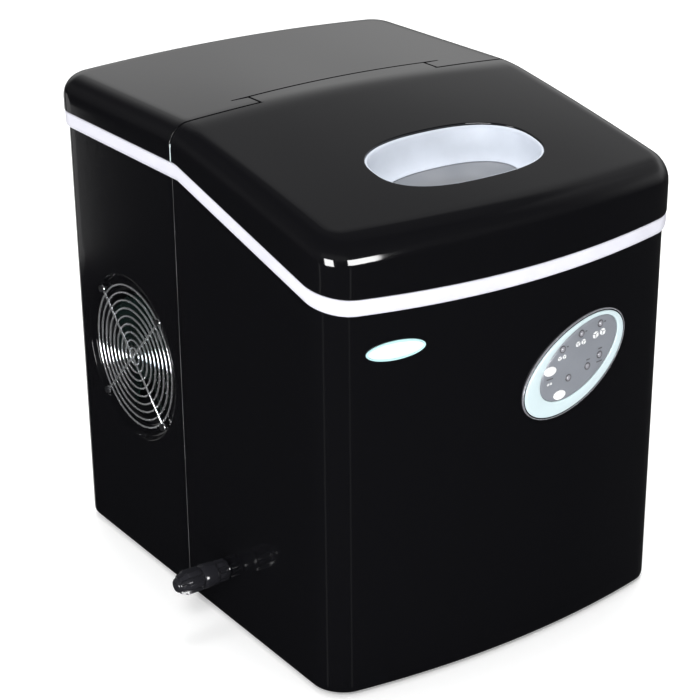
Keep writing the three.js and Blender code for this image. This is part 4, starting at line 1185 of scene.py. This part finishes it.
# ------------------------------------------------------------------ studio
FLOOR_SIZE = 30.0
floor_mat = material("floor_white", (0.9, 0.9, 0.9), 0.9, Specular_IOR_Level=0.1)
shader_of(floor_mat).inputs["Emission Color"].default_value = (1, 1, 1, 1)
shader_of(floor_mat).inputs["Emission Strength"].default_value = 0.22
bpy.ops.mesh.primitive_plane_add(size=FLOOR_SIZE, location=(0, 0, 0))
floor = bpy.context.object
floor.name = "studio_floor"
floor.data.materials.append(floor_mat)
floor.visible_glossy = False

world = bpy.data.worlds.new("studio")
bpy.context.scene.world = world
world.use_nodes = True
tree = world.node_tree
tree.nodes.clear()
sky_coords = tree.nodes.new("ShaderNodeTexCoord").outputs["Generated"]


def math_node(operation, *values):
    """A Math node on sockets or plain numbers, and its output."""
    node = tree.nodes.new("ShaderNodeMath")
    node.operation = operation
    for socket, value in zip(node.inputs, values):
        if isinstance(value, (int, float)):
            socket.default_value = value
        else:
            tree.links.new(value, socket)
    return node.outputs[0]


def fade(value, start, end):
    """0 at start and 1 at end, smoothly."""
    node = tree.nodes.new("ShaderNodeMapRange")
    node.interpolation_type = "SMOOTHSTEP"
    node.inputs["From Min"].default_value = start
    node.inputs["From Max"].default_value = end
    tree.links.new(value, node.inputs["Value"])
    return node.outputs["Result"]


def along(vector, axis):
    node = tree.nodes.new("ShaderNodeVectorMath")
    node.operation = "DOT_PRODUCT"
    node.inputs[1].default_value = axis
    tree.links.new(vector, node.inputs[0])
    return node.outputs["Value"]


def sky_card(azimuth, elevation, half_width, half_height, strength, soft):
    """A bright card in the reflected studio: degrees from +Y towards +X, and above level."""
    a, e = math.radians(azimuth), math.radians(elevation)
    ahead = Vector((math.sin(a) * math.cos(e), math.cos(a) * math.cos(e), math.sin(e)))
    side = Vector((math.cos(a), -math.sin(a), 0))
    depth = math_node("MAXIMUM", along(sky_coords, ahead), 0.0001)
    mask = strength
    for axis, half in ((side, half_width), (side.cross(ahead), half_height)):
        reach = math.tan(math.radians(half))
        offset = math_node("ABSOLUTE", math_node("DIVIDE", along(sky_coords, axis), depth))
        mask = math_node("MULTIPLY", mask, fade(offset, reach + soft, reach - soft))
    return mask


# (height from straight down, 0, to straight up, 1; brightness) of the sweep seen in reflections
SWEEP = [(0.0, 0.04), (0.46, 0.05), (0.54, 0.35), (0.58, 0.57), (0.61, 0.64), (0.65, 0.7)]
SWEEP += [(0.68, 0.62), (0.715, 0.4), (0.76, 0.31), (0.85, 0.22), (0.885, 0.05), (1.0, 0.03)]
ramp = tree.nodes.new("ShaderNodeValToRGB")
elements = ramp.color_ramp.elements
while len(elements) < len(SWEEP):
    elements.new(0.5)
for element, (place, level) in zip(elements, SWEEP):
    element.position = place
    element.color = (level, level, level, 1)
sky_height = math_node("MULTIPLY_ADD", along(sky_coords, (0, 0, 1)), 0.5, 0.5)
tree.links.new(sky_height, ramp.inputs["Fac"])
level_dir = tree.nodes.new("ShaderNodeVectorMath")
level_dir.operation = "MULTIPLY"
level_dir.inputs[1].default_value = (1, 1, 0)
tree.links.new(sky_coords, level_dir.inputs[0])
unit_dir = tree.nodes.new("ShaderNodeVectorMath")
unit_dir.operation = "NORMALIZE"
tree.links.new(level_dir.outputs[0], unit_dir.inputs[0])
# The sweep is bright only on the side that SWEEP_SIDE points to, and a tenth as bright elsewhere.
SWEEP_SIDE = (0.866, 0.5, 0)
facing = fade(along(unit_dir.outputs[0], SWEEP_SIDE), 0.3, 0.8)
behind = math_node("MULTIPLY_ADD", facing, 0.9, 0.1)
cloud = tree.nodes.new("ShaderNodeTexNoise")
cloud.inputs["Scale"].default_value = 5.0
cloud.inputs["Detail"].default_value = 1.0
tree.links.new(sky_coords, cloud.inputs["Vector"])
uneven = math_node("MULTIPLY_ADD", cloud.outputs["Fac"], 0.5, 0.75)
light_level = math_node("MULTIPLY", math_node("MULTIPLY", ramp.outputs["Color"], behind), uneven)
# (azimuth, elevation, half width, half height, strength, softness) as sky_card takes them
CARDS = [
    (-121, -1, 10, 11, 24, 0.01),
    (180, 4, 15, 10, 24, 0.01),
    (8, -22, 12, 14, 0.6, 0.05),
    (-20.6, -12, 5.9, 8.5, 0.55, 0.005),
    (-96, -24, 2.0, 12, 0.25, 0.02),
    (-171, -24, 1.8, 12, 0.25, 0.02),
    (-135, 20, 30, 10, 0.12, 0.1),
]
for card in CARDS:
    light_level = math_node("ADD", light_level, sky_card(*card))
mirror = tree.nodes.new("ShaderNodeBackground")
mirror.inputs["Color"].default_value = (1, 1, 1, 1)
tree.links.new(light_level, mirror.inputs["Strength"])
fill = tree.nodes.new("ShaderNodeBackground")
fill.inputs["Color"].default_value = (1, 1, 1, 1)
fill.inputs["Strength"].default_value = 0.75
path = tree.nodes.new("ShaderNodeLightPath")
mix = tree.nodes.new("ShaderNodeMixShader")
out = tree.nodes.new("ShaderNodeOutputWorld")
tree.links.new(path.outputs["Is Glossy Ray"], mix.inputs["Fac"])
tree.links.new(fill.outputs[0], mix.inputs[1])
tree.links.new(mirror.outputs[0], mix.inputs[2])
tree.links.new(mix.outputs[0], out.inputs["Surface"])


def softbox(name, place, target, size, power):
    """A rectangular light that glossy surfaces don't mirror."""
    light = bpy.data.lights.new(name, "AREA")
    light.shape = "RECTANGLE"
    light.size, light.size_y = size
    light.energy = power
    obj = bpy.data.objects.new(name, light)
    bpy.context.scene.collection.objects.link(obj)
    obj.location = place
    obj.rotation_euler = (Vector(target) - Vector(place)).to_track_quat("-Z", "Y").to_euler()
    obj.visible_glossy = False


softbox("key_left", (-1.6, -1.7, 1.9), (0, 0, 0.3), (0.7, 0.9), 45)
softbox("key_top", (0.3, 0.4, 2.6), (0, 0, 0.3), (1.4, 1.4), 40)

# ------------------------------------------------------------------ camera
# Where it stands, in mm about the casing's middle, and the directions of its right and up
CAMERA_AT = (-917.9, -1296.1, 874.1)
CAMERA_RIGHT = Vector((0.81676918, -0.57691808, -0.00732372))
CAMERA_UP = Vector((0.23419057, 0.31989999, 0.91805162))
camera_data = bpy.data.cameras.new("camera")
camera_data.lens = 99.97
camera_data.sensor_width = 36.0
camera_data.clip_end = 100.0
camera = bpy.data.objects.new("camera", camera_data)
bpy.context.scene.collection.objects.link(camera)
back = CAMERA_RIGHT.cross(CAMERA_UP).normalized()
turn_matrix = Matrix((CAMERA_RIGHT, CAMERA_UP, back)).transposed().to_4x4()
camera.matrix_world = Matrix.Translation(at(*CAMERA_AT)) @ turn_matrix
bpy.context.scene.camera = camera
bpy.context.scene.view_settings.view_transform = "Standard"
